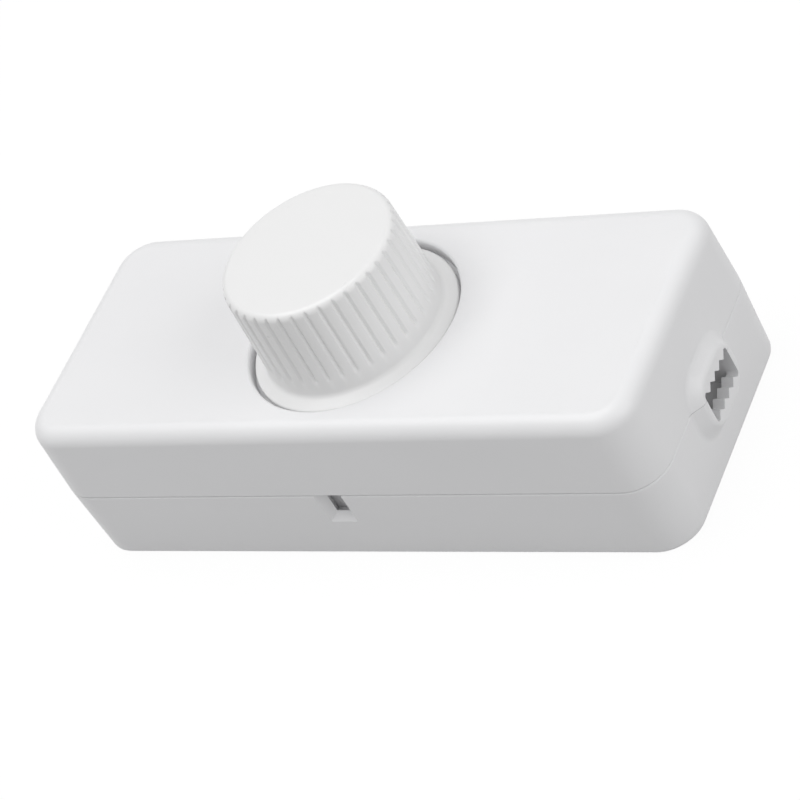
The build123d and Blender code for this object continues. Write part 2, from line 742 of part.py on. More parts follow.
with BuildPart() as terminal_screws:
    with BuildSketch(Plane.XY.offset(cage_top + terminal_screw_open)):
        with Locations(*terminal_pins):
            Circle(terminal_screw_head / 2)
    extrude(amount=terminal_screw_head_height)
    with BuildSketch(Plane.XY.offset(cage_top + terminal_screw_open + terminal_screw_head_height)):
        with Locations(*terminal_pins):
            Rectangle(terminal_screw_head, terminal_screw_slot)
    extrude(amount=-terminal_screw_slot_depth, mode=Mode.SUBTRACT)
    with BuildSketch(Plane.XY.offset(cage_top + terminal_screw_open)):
        with Locations(*terminal_pins):
            Circle(terminal_screw_diameter / 2)
    extrude(amount=-(cage_size / 2 + terminal_screw_open))
terminal_screws.part.label = "terminal_screws"
export_step(terminal_screws.part, "parts/terminal_screws.step")

# Neutral strip soldered under the board between the two neutral pins
with BuildPart() as neutral_link:
    with BuildSketch(Plane.XY.offset(board_bottom)):
        with Locations((0, -pole_spacing / 2)):
            Rectangle(2 * block_offset, link_width)
            with GridLocations(2 * block_offset, 0, 2, 1):
                Circle(link_eye_diameter / 2)
                Circle(terminal_pin_diameter / 2 + fit_clearance, mode=Mode.SUBTRACT)
    extrude(amount=-link_thickness)
neutral_link.part.label = "neutral_link"
export_step(neutral_link.part, "parts/neutral_link.step")

# Heat sink: a foot under the triac and an upright fin beside it
triac_back = triac_y + triac_length / 2
with BuildPart() as heat_sink:
    with BuildSketch(Plane.XY.offset(board_top)):
        with Locations((triac_x - triac_width / 2 - sink_edge, triac_y - triac_length / 2 - sink_front_edge)):
            Rectangle(sink_width, sink_length, align=(Align.MIN, Align.MIN))
        with Locations(screw_at_tab):
            Circle(sink_screw_diameter / 2 + board_hole_clearance, mode=Mode.SUBTRACT)
    extrude(amount=sink_thickness)
    with BuildSketch(Plane.XY.offset(board_top)):
        with Locations((triac_x - triac_width / 2 - sink_edge, triac_y - triac_length / 2 - sink_front_edge)):
            Rectangle(sink_thickness, sink_length, align=(Align.MIN, Align.MIN))
    extrude(amount=sink_fin_height)
heat_sink.part.label = "heat_sink"
export_step(heat_sink.part, "parts/heat_sink.step")

with BuildPart() as triac_tab:
    with BuildSketch(Plane.XY.offset(sink_top)):
        with Locations((triac_x, triac_back)):
            Rectangle(triac_width, tab_length, align=(Align.CENTER, Align.MIN))
        with Locations(screw_at_tab):
            Circle(tab_hole_diameter / 2, mode=Mode.SUBTRACT)
    extrude(amount=tab_thickness)
triac_tab.part.label = "triac_tab"
export_step(triac_tab.part, "parts/triac_tab.step")

with BuildPart() as triac_body:
    with BuildSketch(Plane.XY.offset(sink_top)):
        with Locations((triac_x, triac_y)):
            Rectangle(triac_width, triac_length)
    extrude(amount=triac_thickness)
    chamfer(triac_body.edges().group_by(Axis.Z)[-1], triac_edge)
triac_body.part.label = "triac_body"
export_step(triac_body.part, "parts/triac_body.step")

with BuildPart() as triac_leads:
    with BuildSketch(Plane.XZ.offset(-(triac_y - triac_length / 2))):
        with Locations(*[(x, sink_top + triac_lead_height) for x, y in triac_leads_at]):
            Rectangle(lead_diameter, lead_diameter)
    extrude(amount=triac_lead_reach + lead_diameter / 2)
    with BuildSketch(Plane.XY.offset(lead_bottom)):
        with Locations(*triac_leads_at):
            Circle(lead_diameter / 2)
    extrude(amount=sink_top + triac_lead_height - lead_bottom)
triac_leads.part.label = "triac_leads"
export_step(triac_leads.part, "parts/triac_leads.step")

with BuildPart() as heat_sink_screw:
    with BuildSketch(Plane.XY.offset(sink_top + tab_thickness)):
        with Locations(screw_at_tab):
            Circle(sink_screw_head / 2)
    extrude(amount=sink_screw_head_height)
    fillet(heat_sink_screw.edges().group_by(Axis.Z)[-1], sink_screw_head_edge)
    with BuildSketch(Plane.XY.offset(sink_top + tab_thickness + sink_screw_head_height)):
        with Locations(screw_at_tab):
            Rectangle(sink_screw_head, sink_screw_slot)
    extrude(amount=-sink_screw_slot_depth, mode=Mode.SUBTRACT)
    with BuildSketch(Plane.XY.offset(sink_top + tab_thickness)):
        with Locations(screw_at_tab):
            Circle(sink_screw_diameter / 2)
    extrude(amount=-(sink_top + tab_thickness - board_bottom + sink_nut_thickness))
heat_sink_screw.part.label = "heat_sink_screw"
export_step(heat_sink_screw.part, "parts/heat_sink_screw.step")

with BuildPart() as heat_sink_nut:
    with BuildSketch(Plane.XY.offset(board_bottom)):
        with Locations(screw_at_tab):
            RegularPolygon(sink_nut_width / 2, 6, major_radius=False)
            Circle(sink_screw_diameter / 2 + fit_clearance, mode=Mode.SUBTRACT)
    extrude(amount=-sink_nut_thickness)
heat_sink_nut.part.label = "heat_sink_nut"
export_step(heat_sink_nut.part, "parts/heat_sink_nut.step")

# Interference choke: a drum core and the wire wound between its flanges
with BuildPart() as choke_core:
    with BuildSketch(Plane.XY.offset(board_top)):
        with Locations((choke_x, choke_y)):
            Circle(choke_diameter / 2)
    extrude(amount=choke_flange)
    with BuildSketch(Plane.XY.offset(board_top)):
        with Locations((choke_x, choke_y)):
            Circle(choke_core_diameter / 2)
    extrude(amount=choke_height)
    with BuildSketch(Plane.XY.offset(board_top + choke_height - choke_flange)):
        with Locations((choke_x, choke_y)):
            Circle(choke_diameter / 2)
    extrude(amount=choke_flange)
    with BuildSketch(Plane.XY.offset(board_top)):
        with Locations((choke_x, choke_y)):
            with GridLocations(0, choke_lead_spacing, 1, 2):
                Circle(lead_diameter / 2 + lead_hole_clearance)
    extrude(amount=choke_flange, mode=Mode.SUBTRACT)
choke_core.part.label = "choke_core"
export_step(choke_core.part, "parts/choke_core.step")

with BuildPart() as choke_winding:
    with BuildSketch(Plane.XY.offset(board_top + choke_flange)):
        with Locations((choke_x, choke_y)):
            Circle(choke_winding_diameter / 2)
            Circle(choke_core_diameter / 2, mode=Mode.SUBTRACT)
    extrude(amount=choke_height - 2 * choke_flange)
choke_winding.part.label = "choke_winding"
export_step(choke_winding.part, "parts/choke_winding.step")

# Box capacitors on the low standoff that their cases have
with BuildPart() as filter_capacitor:
    with BuildSketch(Plane.XY.offset(board_top + standoff)):
        with Locations((filter_x, filter_y)):
            Rectangle(filter_depth, filter_length)
    extrude(amount=filter_height)
    fillet(filter_capacitor.edges().filter_by(Axis.Z), filter_edge)
filter_capacitor.part.label = "filter_capacitor"
export_step(filter_capacitor.part, "parts/filter_capacitor.step")

with BuildPart() as timing_capacitor:
    with BuildSketch(Plane.XY.offset(board_top + standoff)):
        with Locations((timing_x, timing_y)):
            Rectangle(timing_length, timing_depth)
    extrude(amount=timing_height)
    fillet(timing_capacitor.edges().filter_by(Axis.Z), timing_edge)
timing_capacitor.part.label = "timing_capacitor"
export_step(timing_capacitor.part, "parts/timing_capacitor.step")

with BuildPart() as fuse:
    with BuildSketch(Plane.XY.offset(board_top + standoff)):
        with Locations((fuse_x, fuse_y)):
            Circle(fuse_diameter / 2)
    extrude(amount=fuse_height)
    fillet(fuse.edges().group_by(Axis.Z)[-1], fuse_edge)
fuse.part.label = "fuse"
export_step(fuse.part, "parts/fuse.step")

# Straight leads of the choke, capacitors and fuse, from the foot of each to below the board
with BuildPart() as component_leads:
    with BuildSketch(Plane.XY.offset(lead_bottom)):
        with Locations(*straight_leads[2:]):
            Circle(lead_diameter / 2)
    extrude(amount=board_top + standoff - lead_bottom)
    with BuildSketch(Plane.XY.offset(lead_bottom)):
        with Locations(*straight_leads[:2]):
            Circle(lead_diameter / 2)
    extrude(amount=board_top + choke_flange - lead_bottom)
component_leads.part.label = "component_leads"
export_step(component_leads.part, "parts/component_leads.step")

# Axial parts lying along the board, and the bent leads that hold them
axial_centre = board_top + axial_height
with BuildPart() as resistors:
    for x, y in resistor_centres:
        with BuildSketch(Plane.YZ.offset(x - resistor_length / 2)):
            with Locations((y, axial_centre)):
                Circle(resistor_diameter / 2)
        extrude(amount=resistor_length)
    fillet(resistors.edges().filter_by(GeomType.CIRCLE), resistor_edge)
resistors.part.label = "resistors"
export_step(resistors.part, "parts/resistors.step")

with BuildPart() as diac:
    with BuildSketch(Plane.YZ.offset(diac_x - diac_length / 2)):
        with Locations((diac_y, axial_centre)):
            Circle(diac_diameter / 2)
    extrude(amount=diac_length)
    fillet(diac.edges().filter_by(GeomType.CIRCLE), diac_edge)
diac.part.label = "diac"
export_step(diac.part, "parts/diac.step")

with BuildPart() as axial_wires:
    for x, y, length, pitch in axial_parts:
        for side in (-1, 1):
            start = (x + side * length / 2, y, axial_centre)
            corner = (x + side * pitch / 2, y, axial_centre)
            end = (x + side * pitch / 2, y, lead_bottom)
            with BuildLine() as wire:
                FilletPolyline(start, corner, end, radius=lead_bend)
            with BuildSketch(Plane(origin=start, z_dir=(side, 0, 0))):
                Circle(lead_diameter / 2)
            sweep(path=wire.line)
axial_wires.part.label = "axial_wires"
export_step(axial_wires.part, "parts/axial_wires.step")

# Potentiometer with a rotary switch below it: switch case, wafer, track, shell and pins
stop_angle = 360 - travel - lug_angle - 2 * stop_margin
lug_middle = stop_middle - stop_angle / 2 - stop_margin - lug_angle / 2


def ring_sector(inner, outer, middle, span):
    """Flat piece of a ring about the knob's axis, as a sketch."""
    with BuildSketch() as sector:
        with BuildLine():
            wide = CenterArc((0, 0), outer, middle - span / 2, span)
            narrow = CenterArc((0, 0), inner, middle - span / 2, span)
            Line(wide @ 0, narrow @ 0)
            Line(wide @ 1, narrow @ 1)
        make_face()
    return sector.sketch


with BuildPart() as switch_case:
    with BuildSketch(Plane.XY.offset(board_top)):
        Circle(pot_diameter / 2)
    extrude(amount=wafer_bottom - board_top)
    with BuildSketch(Plane.XY.offset(case_floor)):
        Circle(case_radius)
    extrude(amount=wafer_bottom - case_floor, mode=Mode.SUBTRACT)
    with BuildSketch(Plane.XY.offset(board_top)):
        with Locations(*switch_pins_at):
            Circle(pot_pin_width / 2 + lead_hole_clearance)
    extrude(amount=switch_case_wall, mode=Mode.SUBTRACT)
switch_case.part.label = "switch_case"
export_step(switch_case.part, "parts/switch_case.step")

with BuildPart() as pot_wafer:
    with BuildSketch(Plane.XY.offset(wafer_bottom)):
        Circle(pot_diameter / 2)
        Rectangle(wafer_tongue_width, pot_diameter / 2 + wafer_tongue_reach,
                  align=(Align.CENTER, Align.MAX))
        Circle(wafer_hole / 2, mode=Mode.SUBTRACT)
    extrude(amount=wafer_thickness)
pot_wafer.part.label = "pot_wafer"
export_step(pot_wafer.part, "parts/pot_wafer.step")

with BuildPart() as resistive_track:
    with BuildSketch(Plane.XY.offset(wafer_top)):
        add(ring_sector(track_inner, rotor_radius, stop_middle + 180, track_angle))
    extrude(amount=track_thickness)
resistive_track.part.label = "resistive_track"
export_step(resistive_track.part, "parts/resistive_track.step")

with BuildPart() as pot_shell:
    with BuildSketch(Plane.XY.offset(wafer_top)):
        Circle(pot_diameter / 2)
    extrude(amount=shell_height)
    fillet(pot_shell.edges().group_by(Axis.Z)[-1], shell_edge)
    with BuildSketch(Plane.XY.offset(wafer_top)):
        Circle(cavity_radius)
    extrude(amount=cavity_top - wafer_top, mode=Mode.SUBTRACT)
    with BuildSketch(Plane.XY.offset(wafer_top)):
        add(ring_sector(cavity_radius - stop_depth, cavity_radius + shell_wall / 2, stop_middle, stop_angle))
    extrude(amount=cavity_top - wafer_top)
    with BuildSketch(Plane.XY.offset(cavity_top)):
        Circle(bushing_diameter / 2)
    extrude(amount=bushing_top - cavity_top)
    with BuildSketch(Plane.XY.offset(cavity_top)):
        Circle(shaft_diameter / 2 + shaft_clearance)
    extrude(amount=bushing_top - cavity_top, mode=Mode.SUBTRACT)
pot_shell.part.label = "pot_shell"
export_step(pot_shell.part, "parts/pot_shell.step")

with BuildPart() as pot_pins:
    for x, y in pot_pins_at:
        with BuildSketch(Plane.XY.offset(wafer_bottom)):
            with Locations((x, y - pot_pin_thickness / 2)):
                Rectangle(pot_pin_width, wafer_tongue_reach - pot_pin_thickness,
                          align=(Align.CENTER, Align.MIN))
        extrude(amount=-pot_pin_thickness)
        with BuildSketch(Plane.XY.offset(wafer_bottom)):
            with Locations((x, y)):
                Rectangle(pot_pin_width, pot_pin_thickness)
        extrude(amount=lead_bottom - wafer_bottom)
pot_pins.part.label = "pot_pins"
export_step(pot_pins.part, "parts/pot_pins.step")

# Sprung blade of the switch, held open by the cam while the knob is at off
with BuildPart() as switch_blade:
    with BuildSketch(Plane.XY.offset(cam_bottom)):
        with Locations((blade_pin_x - switch_pin_width / 2, blade_y)):
            Rectangle(contact_offset + switch_pin_width - blade_pin_x, blade_thickness,
                      align=(Align.MIN, Align.MIN))
    extrude(amount=blade_top - cam_bottom)
    with BuildSketch(Plane.XY.offset(lead_bottom)):
        with Locations(switch_pins_at[0]):
            Rectangle(switch_pin_width, blade_thickness)
    extrude(amount=cam_bottom - lead_bottom)
switch_blade.part.label = "switch_blade"
export_step(switch_blade.part, "parts/switch_blade.step")

with BuildPart() as switch_contact:
    with BuildSketch(Plane.XY.offset(lead_bottom)):
        with Locations(switch_pins_at[1]):
            Rectangle(switch_pin_width, contact_thickness)
    extrude(amount=blade_top - lead_bottom)
switch_contact.part.label = "switch_contact"
export_step(switch_contact.part, "parts/switch_contact.step")

# What turns with the knob: rotor with its stop lug and switch cam, wiper and shaft
with BuildPart() as pot_rotor:
    with BuildSketch(Plane.XY.offset(rotor_bottom)):
        Circle(rotor_radius)
        add(ring_sector(rotor_radius - lug_reach, rotor_radius + lug_reach, lug_middle, lug_angle))
    extrude(amount=rotor_thickness)
    with BuildSketch(Plane.XY.offset(cam_bottom)):
        Circle(rotor_stub / 2)
    extrude(amount=rotor_bottom - cam_bottom)
    with BuildSketch(Plane.XY.offset(cam_bottom)):
        Rectangle(cam_width, cam_radius - cam_width / 2, align=(Align.CENTER, Align.MIN))
        with Locations((0, cam_radius - cam_width / 2)):
            Circle(cam_width / 2)
    extrude(amount=cam_top - cam_bottom)
pot_rotor.part.label = "pot_rotor"
export_step(pot_rotor.part, "parts/pot_rotor.step")

track_middle = (track_inner + rotor_radius) / 2
with BuildPart() as pot_wiper:
    with BuildSketch(Plane.XY.offset(rotor_bottom)):
        with PolarLocations((rotor_stub / 2 + rotor_radius) / 2, 1, start_angle=lug_middle):
            Rectangle(rotor_radius - rotor_stub / 2 - 2 * fit_clearance, wiper_width)
    extrude(amount=-wiper_thickness)
    with BuildSketch(Plane.XY.offset(rotor_bottom - wiper_thickness)):
        with PolarLocations(track_middle, 1, start_angle=lug_middle):
            Circle(wiper_nub / 2)
    extrude(amount=wafer_top + track_thickness + wiper_gap - rotor_bottom + wiper_thickness)
pot_wiper.part.label = "pot_wiper"
export_step(pot_wiper.part, "parts/pot_wiper.step")

with BuildPart() as pot_shaft:
    with BuildSketch(Plane.XY.offset(rotor_top)):
        Circle(shaft_diameter / 2)
    extrude(amount=shaft_top - rotor_top)
    with BuildSketch(Plane.XY.offset(shaft_flat_start)):
        with Locations((0, shaft_diameter - shaft_flat)):
            Rectangle(2 * shaft_diameter, shaft_diameter)
    extrude(amount=shaft_top - shaft_flat_start, mode=Mode.SUBTRACT)
    chamfer(pot_shaft.edges().group_by(Axis.Z)[-1], shaft_end_edge)
pot_shaft.part.label = "pot_shaft"
export_step(pot_shaft.part, "parts/pot_shaft.step")
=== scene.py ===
"""Looks of an inline rotary dimmer: white snapped housing, fluted knob and the works inside."""
import json
import math
from contextlib import contextmanager

import bmesh
import bpy
from bpy.props import FloatProperty, FloatVectorProperty, IntProperty, PointerProperty
from mathutils import Matrix, Vector


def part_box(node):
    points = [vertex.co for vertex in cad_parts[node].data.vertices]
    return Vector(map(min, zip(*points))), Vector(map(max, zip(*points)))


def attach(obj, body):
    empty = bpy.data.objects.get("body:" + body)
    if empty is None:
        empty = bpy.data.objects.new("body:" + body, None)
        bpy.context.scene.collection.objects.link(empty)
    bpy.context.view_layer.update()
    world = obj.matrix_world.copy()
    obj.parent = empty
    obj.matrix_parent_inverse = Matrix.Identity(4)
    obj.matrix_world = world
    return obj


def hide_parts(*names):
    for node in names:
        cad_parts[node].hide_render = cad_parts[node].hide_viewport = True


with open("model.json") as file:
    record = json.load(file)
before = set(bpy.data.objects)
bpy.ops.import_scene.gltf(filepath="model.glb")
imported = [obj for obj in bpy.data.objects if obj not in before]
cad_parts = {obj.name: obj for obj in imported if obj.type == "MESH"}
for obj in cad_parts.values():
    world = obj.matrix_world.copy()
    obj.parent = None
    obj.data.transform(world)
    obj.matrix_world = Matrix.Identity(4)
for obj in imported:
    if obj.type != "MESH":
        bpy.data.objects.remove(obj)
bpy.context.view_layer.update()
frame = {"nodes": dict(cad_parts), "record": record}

bl_info = {
    "name": "Inline Dimmer",
    "version": (1, 0, 0),
    "blender": (4, 5, 0),
    "location": "View3D > Sidebar > Dimmer",
    "description": "Builds the housing, knob, works and stage of an inline rotary dimmer",
    "category": "Add Mesh",
}

MM = 0.001
X, Y, Z = range(3)
HOUSING = "housing"
KNOB_DRIVE = "knob_drive"
SMOOTH_ANGLE = math.radians(32)
NEAR = 0.01 * MM
WELD = NEAR / 10
CUT_TOLERANCE = NEAR / 100
CORNER_STEPS = 14
EDGE_STEPS = 10
FLARE_STEPS = 8
FADE_STEPS = 6
SOFT_STEPS = 4
SEAM_STEPS = 3
ROD_SIDES = 48
HOLE_SIDES = 64
DISC_SIDES = 96
DISH_SIDES = 160
# Rings on the flat of the knob's top, as shares of its radius
TOP_RINGS = (0.12, 0.45, 0.8)
RAMP_START = 0.3
RAMP_END = 0.7
FLOW_SCALE = 90
SHEEN_SCALE = 400
PATCH_SCALE = 350
FIBRE_SCALE = 700
LINE_SCALE = 1800
PLASTIC_IOR = 1.49
GLASS_IOR = 1.5
WHITE = (1, 1, 1, 1)
SENSOR_WIDTH = 36.0
NEAREST_VIEW = 0.01
FARTHEST_VIEW = 20.0


def in_mm(name, text, value):
    """A length that a user may change, given in millimetres and kept in metres."""
    return FloatProperty(name=name, description=text, default=value * MM, precision=5,
                         unit="LENGTH", subtype="DISTANCE")


def point_in_mm(name, text, value):
    """A point that a user may change, given in millimetres and kept in metres."""
    return FloatVectorProperty(name=name, description=text, default=[c * MM for c in value], size=3,
                               precision=5, unit="LENGTH", subtype="TRANSLATION")


def in_degrees(name, text, value):
    """An angle that a user may change, given in degrees and kept in radians."""
    return FloatProperty(name=name, description=text, default=math.radians(value),
                         unit="ROTATION", subtype="ANGLE")


def number(name, text, value):
    """A plain number that a user may change."""
    return FloatProperty(name=name, description=text, default=value, min=0.0)


def whole_number(name, text, value):
    """A whole number that a user may change."""
    return IntProperty(name=name, description=text, default=value, min=1)


def paint(name, text, value):
    """A colour that a user may change."""
    return FloatVectorProperty(name=name, description=text, default=value, size=3,
                               min=0.0, max=1.0, subtype="COLOR")


class HousingSizes(bpy.types.PropertyGroup):
    """Sizes of the two shells of the housing."""

    length: in_mm("Length", "Length of the housing without its cord entries", 88.0)
    width: in_mm("Width", "Width of the housing at the split", 36.0)
    height: in_mm("Height", "Height of the cover's top face", 22.6)
    split: in_mm("Split height", "Height of the rim of the base", 11.2)
    seam: in_mm("Seam", "Gap between the two shells", 0.06)
    corner: in_mm("Corner radius", "Radius of the four upright corners", 5.0)
    wall: in_mm("Wall", "Thickness of walls, floor and roof", 2.0)
    cover_draft: in_degrees("Cover draft", "Lean of the cover's walls", 1.6)
    base_draft: in_degrees("Base draft", "Lean of the base's walls", 1.4)
    top_edge: in_mm("Top edge", "Rounding round the top face", 2.2)
    bottom_edge: in_mm("Bottom edge", "Rounding round the underside", 0.5)
    base_seam_edge: in_mm("Base seam edge", "Rounding of the base's rim", 0.32)
    cover_seam_edge: in_mm("Cover seam edge", "Rounding of the cover's lower edge", 0.14)
    lip: in_mm("Lip", "Thickness of the base's rim outside the tongue", 1.0)
    tongue: in_mm("Tongue", "Depth of the cover's tongue", 1.6)
    fit: in_mm("Fit", "Clearance round the tongue", 0.12)


class EntrySizes(bpy.types.PropertyGroup):
    """Sizes of the two toothed cord entries."""

    width: in_mm("Width", "Width of the mouth", 7.9)
    gap: in_mm("Gap", "Height of the mouth between its teeth", 3.1)
    pitch: in_mm("Tooth pitch", "Distance from tooth to tooth", 1.7)
    depth: in_mm("Tooth depth", "Height of a tooth", 0.8)
    teeth: whole_number("Teeth", "Teeth above and below the cord", 4)
    tooth_length: in_mm("Tooth length", "Length of the teeth along the cord", 1.6)
    mouth_corner: in_mm("Mouth corner", "Rounding of the corners of the mouth", 0.5)
    relief: in_mm("Relief", "How much higher and lower the channel is behind the teeth", 1.6)
    proud: in_mm("Proud", "How far the rim stands out of the end wall", 1.4)
    rim: in_mm("Rim", "Width of the rim's flat face above and below the mouth", 1.3)
    end_rim: in_mm("End rim", "Width of the rim's flat face beside the mouth", 0.8)
    slope: in_mm("Slope", "Width of the rim's sloping side", 1.4)
    blend: in_mm("Blend", "Width of the soft foot of the sloping side", 0.6)
    blend_rise: in_mm("Blend rise", "Height of the soft foot of the sloping side", 0.2)
    corner: in_mm("Corner", "Corner radius of the rim's flat face", 3.2)
    soft_edge: in_mm("Soft edge", "Rounding of the rim's front edge", 0.35)
    cheek: in_mm("Cheek", "Wall beside the guide behind the mouth", 1.3)
    bar_gap: in_mm("Bar gap", "Gap between the guide and the clamp bar", 0.4)


class NotchSizes(bpy.types.PropertyGroup):
    """Sizes of the pry notch in the front of the base."""

    width: in_mm("Width", "Width of the bevelled recess", 4.1)
    height: in_mm("Height", "Height of the bevelled recess", 5.1)
    depth: in_mm("Depth", "Depth of the bevelled recess", 1.0)
    slot_width: in_mm("Slot width", "Width of the slot through the wall", 2.9)
    slot_height: in_mm("Slot height", "Height of the slot through the wall", 3.8)
    relief: in_mm("Relief", "How much wider the slot is inside the wall", 0.8)


class HookSizes(bpy.types.PropertyGroup):
    """Sizes of the four snap hooks and of the pockets that they catch in."""

    spacing: in_mm("Spacing", "Distance along the housing between two hooks", 48.0)
    width: in_mm("Width", "Width of a hook", 6.0)
    thickness: in_mm("Thickness", "Thickness of a hook", 1.1)
    reach: in_mm("Reach", "How far a hook hangs below the cover", 5.2)
    root: in_mm("Root", "Height of a hook's root inside the cover", 2.2)
    clearance: in_mm("Clearance", "Gap between a hook and the wall of the base", 0.25)
    barb_height: in_mm("Barb height", "Height of the barb", 1.6)
    barb_depth: in_mm("Barb depth", "How far the barb stands out", 0.65)
    pocket_gap: in_mm("Pocket gap", "Gap round the barb in its pocket", 0.15)
    tab_reach: in_mm("Tab reach", "How far the tab behind the pry notch hangs below the cover", 5.7)
    tab_margin: in_mm("Tab margin", "How far the tab reaches past the sides of the notch", 1.0)


class PostSizes(bpy.types.PropertyGroup):
    """Sizes of what stands on the floor of the base."""

    post: in_mm("Post", "Diameter of a post under the board", 5.0)
    inset_x: in_mm("Inset along", "Distance from a post to the end of the board", 3.0)
    inset_y: in_mm("Inset across", "Distance from a post to the side of the board", 2.3)
    peg: in_mm("Peg", "Diameter of a peg through the board", 1.8)
    peg_rise: in_mm("Peg rise", "How far a peg stands above the board", 0.8)
    board_hole: in_mm("Board screw hole", "Diameter of the hole for a board screw", 2.3)
    board_hole_depth: in_mm("Board screw depth", "Depth of the hole for a board screw", 2.45)
    clamp_post: in_mm("Clamp post", "Diameter of a post under a clamp bar", 5.6)
    clamp_spacing: in_mm("Clamp spacing", "Distance between the two posts of a clamp bar", 17.0)
    clamp_ribs: in_mm("Clamp ribs", "Height of the ribs under a clamp bar", 0.5)
    clamp_hole: in_mm("Clamp screw hole", "Diameter of the hole for a clamp screw", 2.7)
    clamp_hole_depth: in_mm("Clamp screw depth", "Depth of the hole for a clamp screw", 5.65)
    saddle: in_mm("Saddle", "Thickness of the saddle under the cord", 2.0)


class DishSizes(bpy.types.PropertyGroup):
    """Sizes of the dish that the knob stands in."""

    diameter: in_mm("Diameter", "Diameter of the dish", 28.6)
    depth: in_mm("Depth", "Depth of the dish", 2.0)
    floor: in_mm("Floor", "Thickness of the floor of the dish", 1.5)
    wall: in_mm("Wall", "Thickness of the wall round the dish", 1.5)
    edge: in_mm("Edge", "Rounding of the edge of the dish", 0.4)
    hole: in_mm("Hole", "Diameter of the hole for the bushing", 7.3)


class KnobSizes(bpy.types.PropertyGroup):
    """Sizes of the knob."""

    rise: in_mm("Rise", "Height of the knob above the cover", 13.15)
    top_radius: in_mm("Top radius", "Radius of the knob at its top", 11.5)
    draft: in_degrees("Draft", "Lean of the knob's side", 1.9)
    rim: in_mm("Rim", "Rounding round the knob's top", 1.0)
    skirt_gap: in_mm("Skirt gap", "Gap between the skirt and the dish", 0.5)
    floor_gap: in_mm("Floor gap", "Gap between the knob and the floor of the dish", 0.4)
    skirt_edge: in_mm("Skirt edge", "Height of the skirt's upright edge", 0.8)
    skirt_slope: in_degrees("Skirt slope", "Fall of the skirt's upper face", 20.0)
    skirt_round: in_mm("Skirt rounding", "Rounding of the skirt's upper edge", 0.25)
    foot_share: number("Foot share", "Share of the skirt's fall at which the knob's side starts", 0.81)
    foot_fillet: in_mm("Foot fillet", "Radius between the skirt and the side", 0.8)
    wall: in_mm("Wall", "Thickness of the knob's wall", 1.6)
    hub: in_mm("Hub", "Diameter of the hub", 10.0)
    bore: in_mm("Bore", "Diameter of the bore for the shaft", 6.1)
    bore_end: in_mm("Bore end", "Plastic left above the shaft", 2.2)
    flutes: whole_number("Flutes", "Grooves round the knob", 40)
    flute_width: in_mm("Flute width", "Width of a groove", 0.66)
    flute_depth: in_mm("Flute depth", "Depth of a groove", 0.32)
    flute_start: in_mm("Flute start", "Height above the cover where the grooves start", 1.9)
    flute_fade: in_mm("Flute fade", "Length over which a groove reaches its full depth", 0.9)
    crown: in_mm("Crown", "Height of the rounding of the ribs between the grooves", 0.04)
    ribs: whole_number("Ribs", "Ribs between the hub and the wall", 6)
    rib_thickness: in_mm("Rib thickness", "Thickness of a rib inside the knob", 1.0)
    rib_start: in_mm("Rib start", "Height above the cover where the ribs start", 3.0)
    shaft: in_mm("Shaft", "Diameter of the shaft that the bore fits", 6.0)
    shaft_flat: in_mm("Shaft flat", "Depth of the flat of the shaft", 1.4)


class StageSettings(bpy.types.PropertyGroup):
    """Camera and light."""

    azimuth: in_degrees("Azimuth", "Turn of the camera round the object", 44.337)
    elevation: in_degrees("Elevation", "Height of the camera above the horizon", 37.932)
    roll: in_degrees("Roll", "Tilt of the camera about its own axis", -32.557)
    distance: in_mm("Distance", "Distance from the camera to its target", 425.65)
    lens: number("Lens", "Focal length of the camera in millimetres", 149.76)
    target: point_in_mm("Target", "Point that the camera looks at", (-6.197, 6.017, 1.939))
    key: number("Key light", "Power of the light above, in watts", 1.65)
    key_place: point_in_mm("Key place", "Middle of the light above", (-150, -20, 580))
    key_size: in_mm("Key size", "Side of the light above", 450)
    side: number("Side light", "Power of the light on the right, in watts", 0.9)
    side_place: point_in_mm("Side place", "Middle of the light on the right", (500, -20, 300))
    side_size: in_mm("Side size", "Side of the light on the right", 450)
    front: number("Front light", "Power of the light in front, in watts", 0.06)
    front_place: point_in_mm("Front place", "Middle of the light in front", (-100, -600, 200))
    front_size: in_mm("Front size", "Side of the light in front", 400)
    sky: number("Sky", "Strength of the even light all round", 0.5)
    floor_radius: in_mm("Floor radius", "Radius of the floor", 3000)
    floor_drop: in_mm("Floor drop", "Depth of the floor below the underside", 0.02)
    white: number("White", "Strength of the white that the floor shows", 1.12)
    shadow: number("Shadow", "Share of its own shade that the floor shows", 0.16)


class Finishes(bpy.types.PropertyGroup):
    """Colours of the visible finishes."""

    housing: paint("Housing", "Colour of the housing", (0.86, 0.86, 0.87))
    knob: paint("Knob", "Colour of the knob", (0.86, 0.86, 0.86))
    floor: paint("Floor", "Colour of the floor", (0.42, 0.42, 0.42))


class DimmerSettings(bpy.types.PropertyGroup):
    """Everything that a user may change."""

    housing: PointerProperty(type=HousingSizes)
    entry: PointerProperty(type=EntrySizes)
    notch: PointerProperty(type=NotchSizes)
    hook: PointerProperty(type=HookSizes)
    post: PointerProperty(type=PostSizes)
    dish: PointerProperty(type=DishSizes)
    knob: PointerProperty(type=KnobSizes)
    stage: PointerProperty(type=StageSettings)
    finishes: PointerProperty(type=Finishes)


def deselect_all():
    """Leaves edit mode and clears the selection."""
    if bpy.context.object and bpy.context.object.mode != "OBJECT":
        bpy.ops.object.mode_set(mode="OBJECT")
    bpy.ops.object.select_all(action="DESELECT")


def activate(obj):
    """Selects one object alone and makes it active."""
    deselect_all()
    bpy.context.view_layer.objects.active = obj
    obj.select_set(True)


@contextmanager
def editing(obj):
    """Edit mode on one object."""
    activate(obj)
    bpy.ops.object.mode_set(mode="EDIT")
    yield
    bpy.ops.object.mode_set(mode="OBJECT")


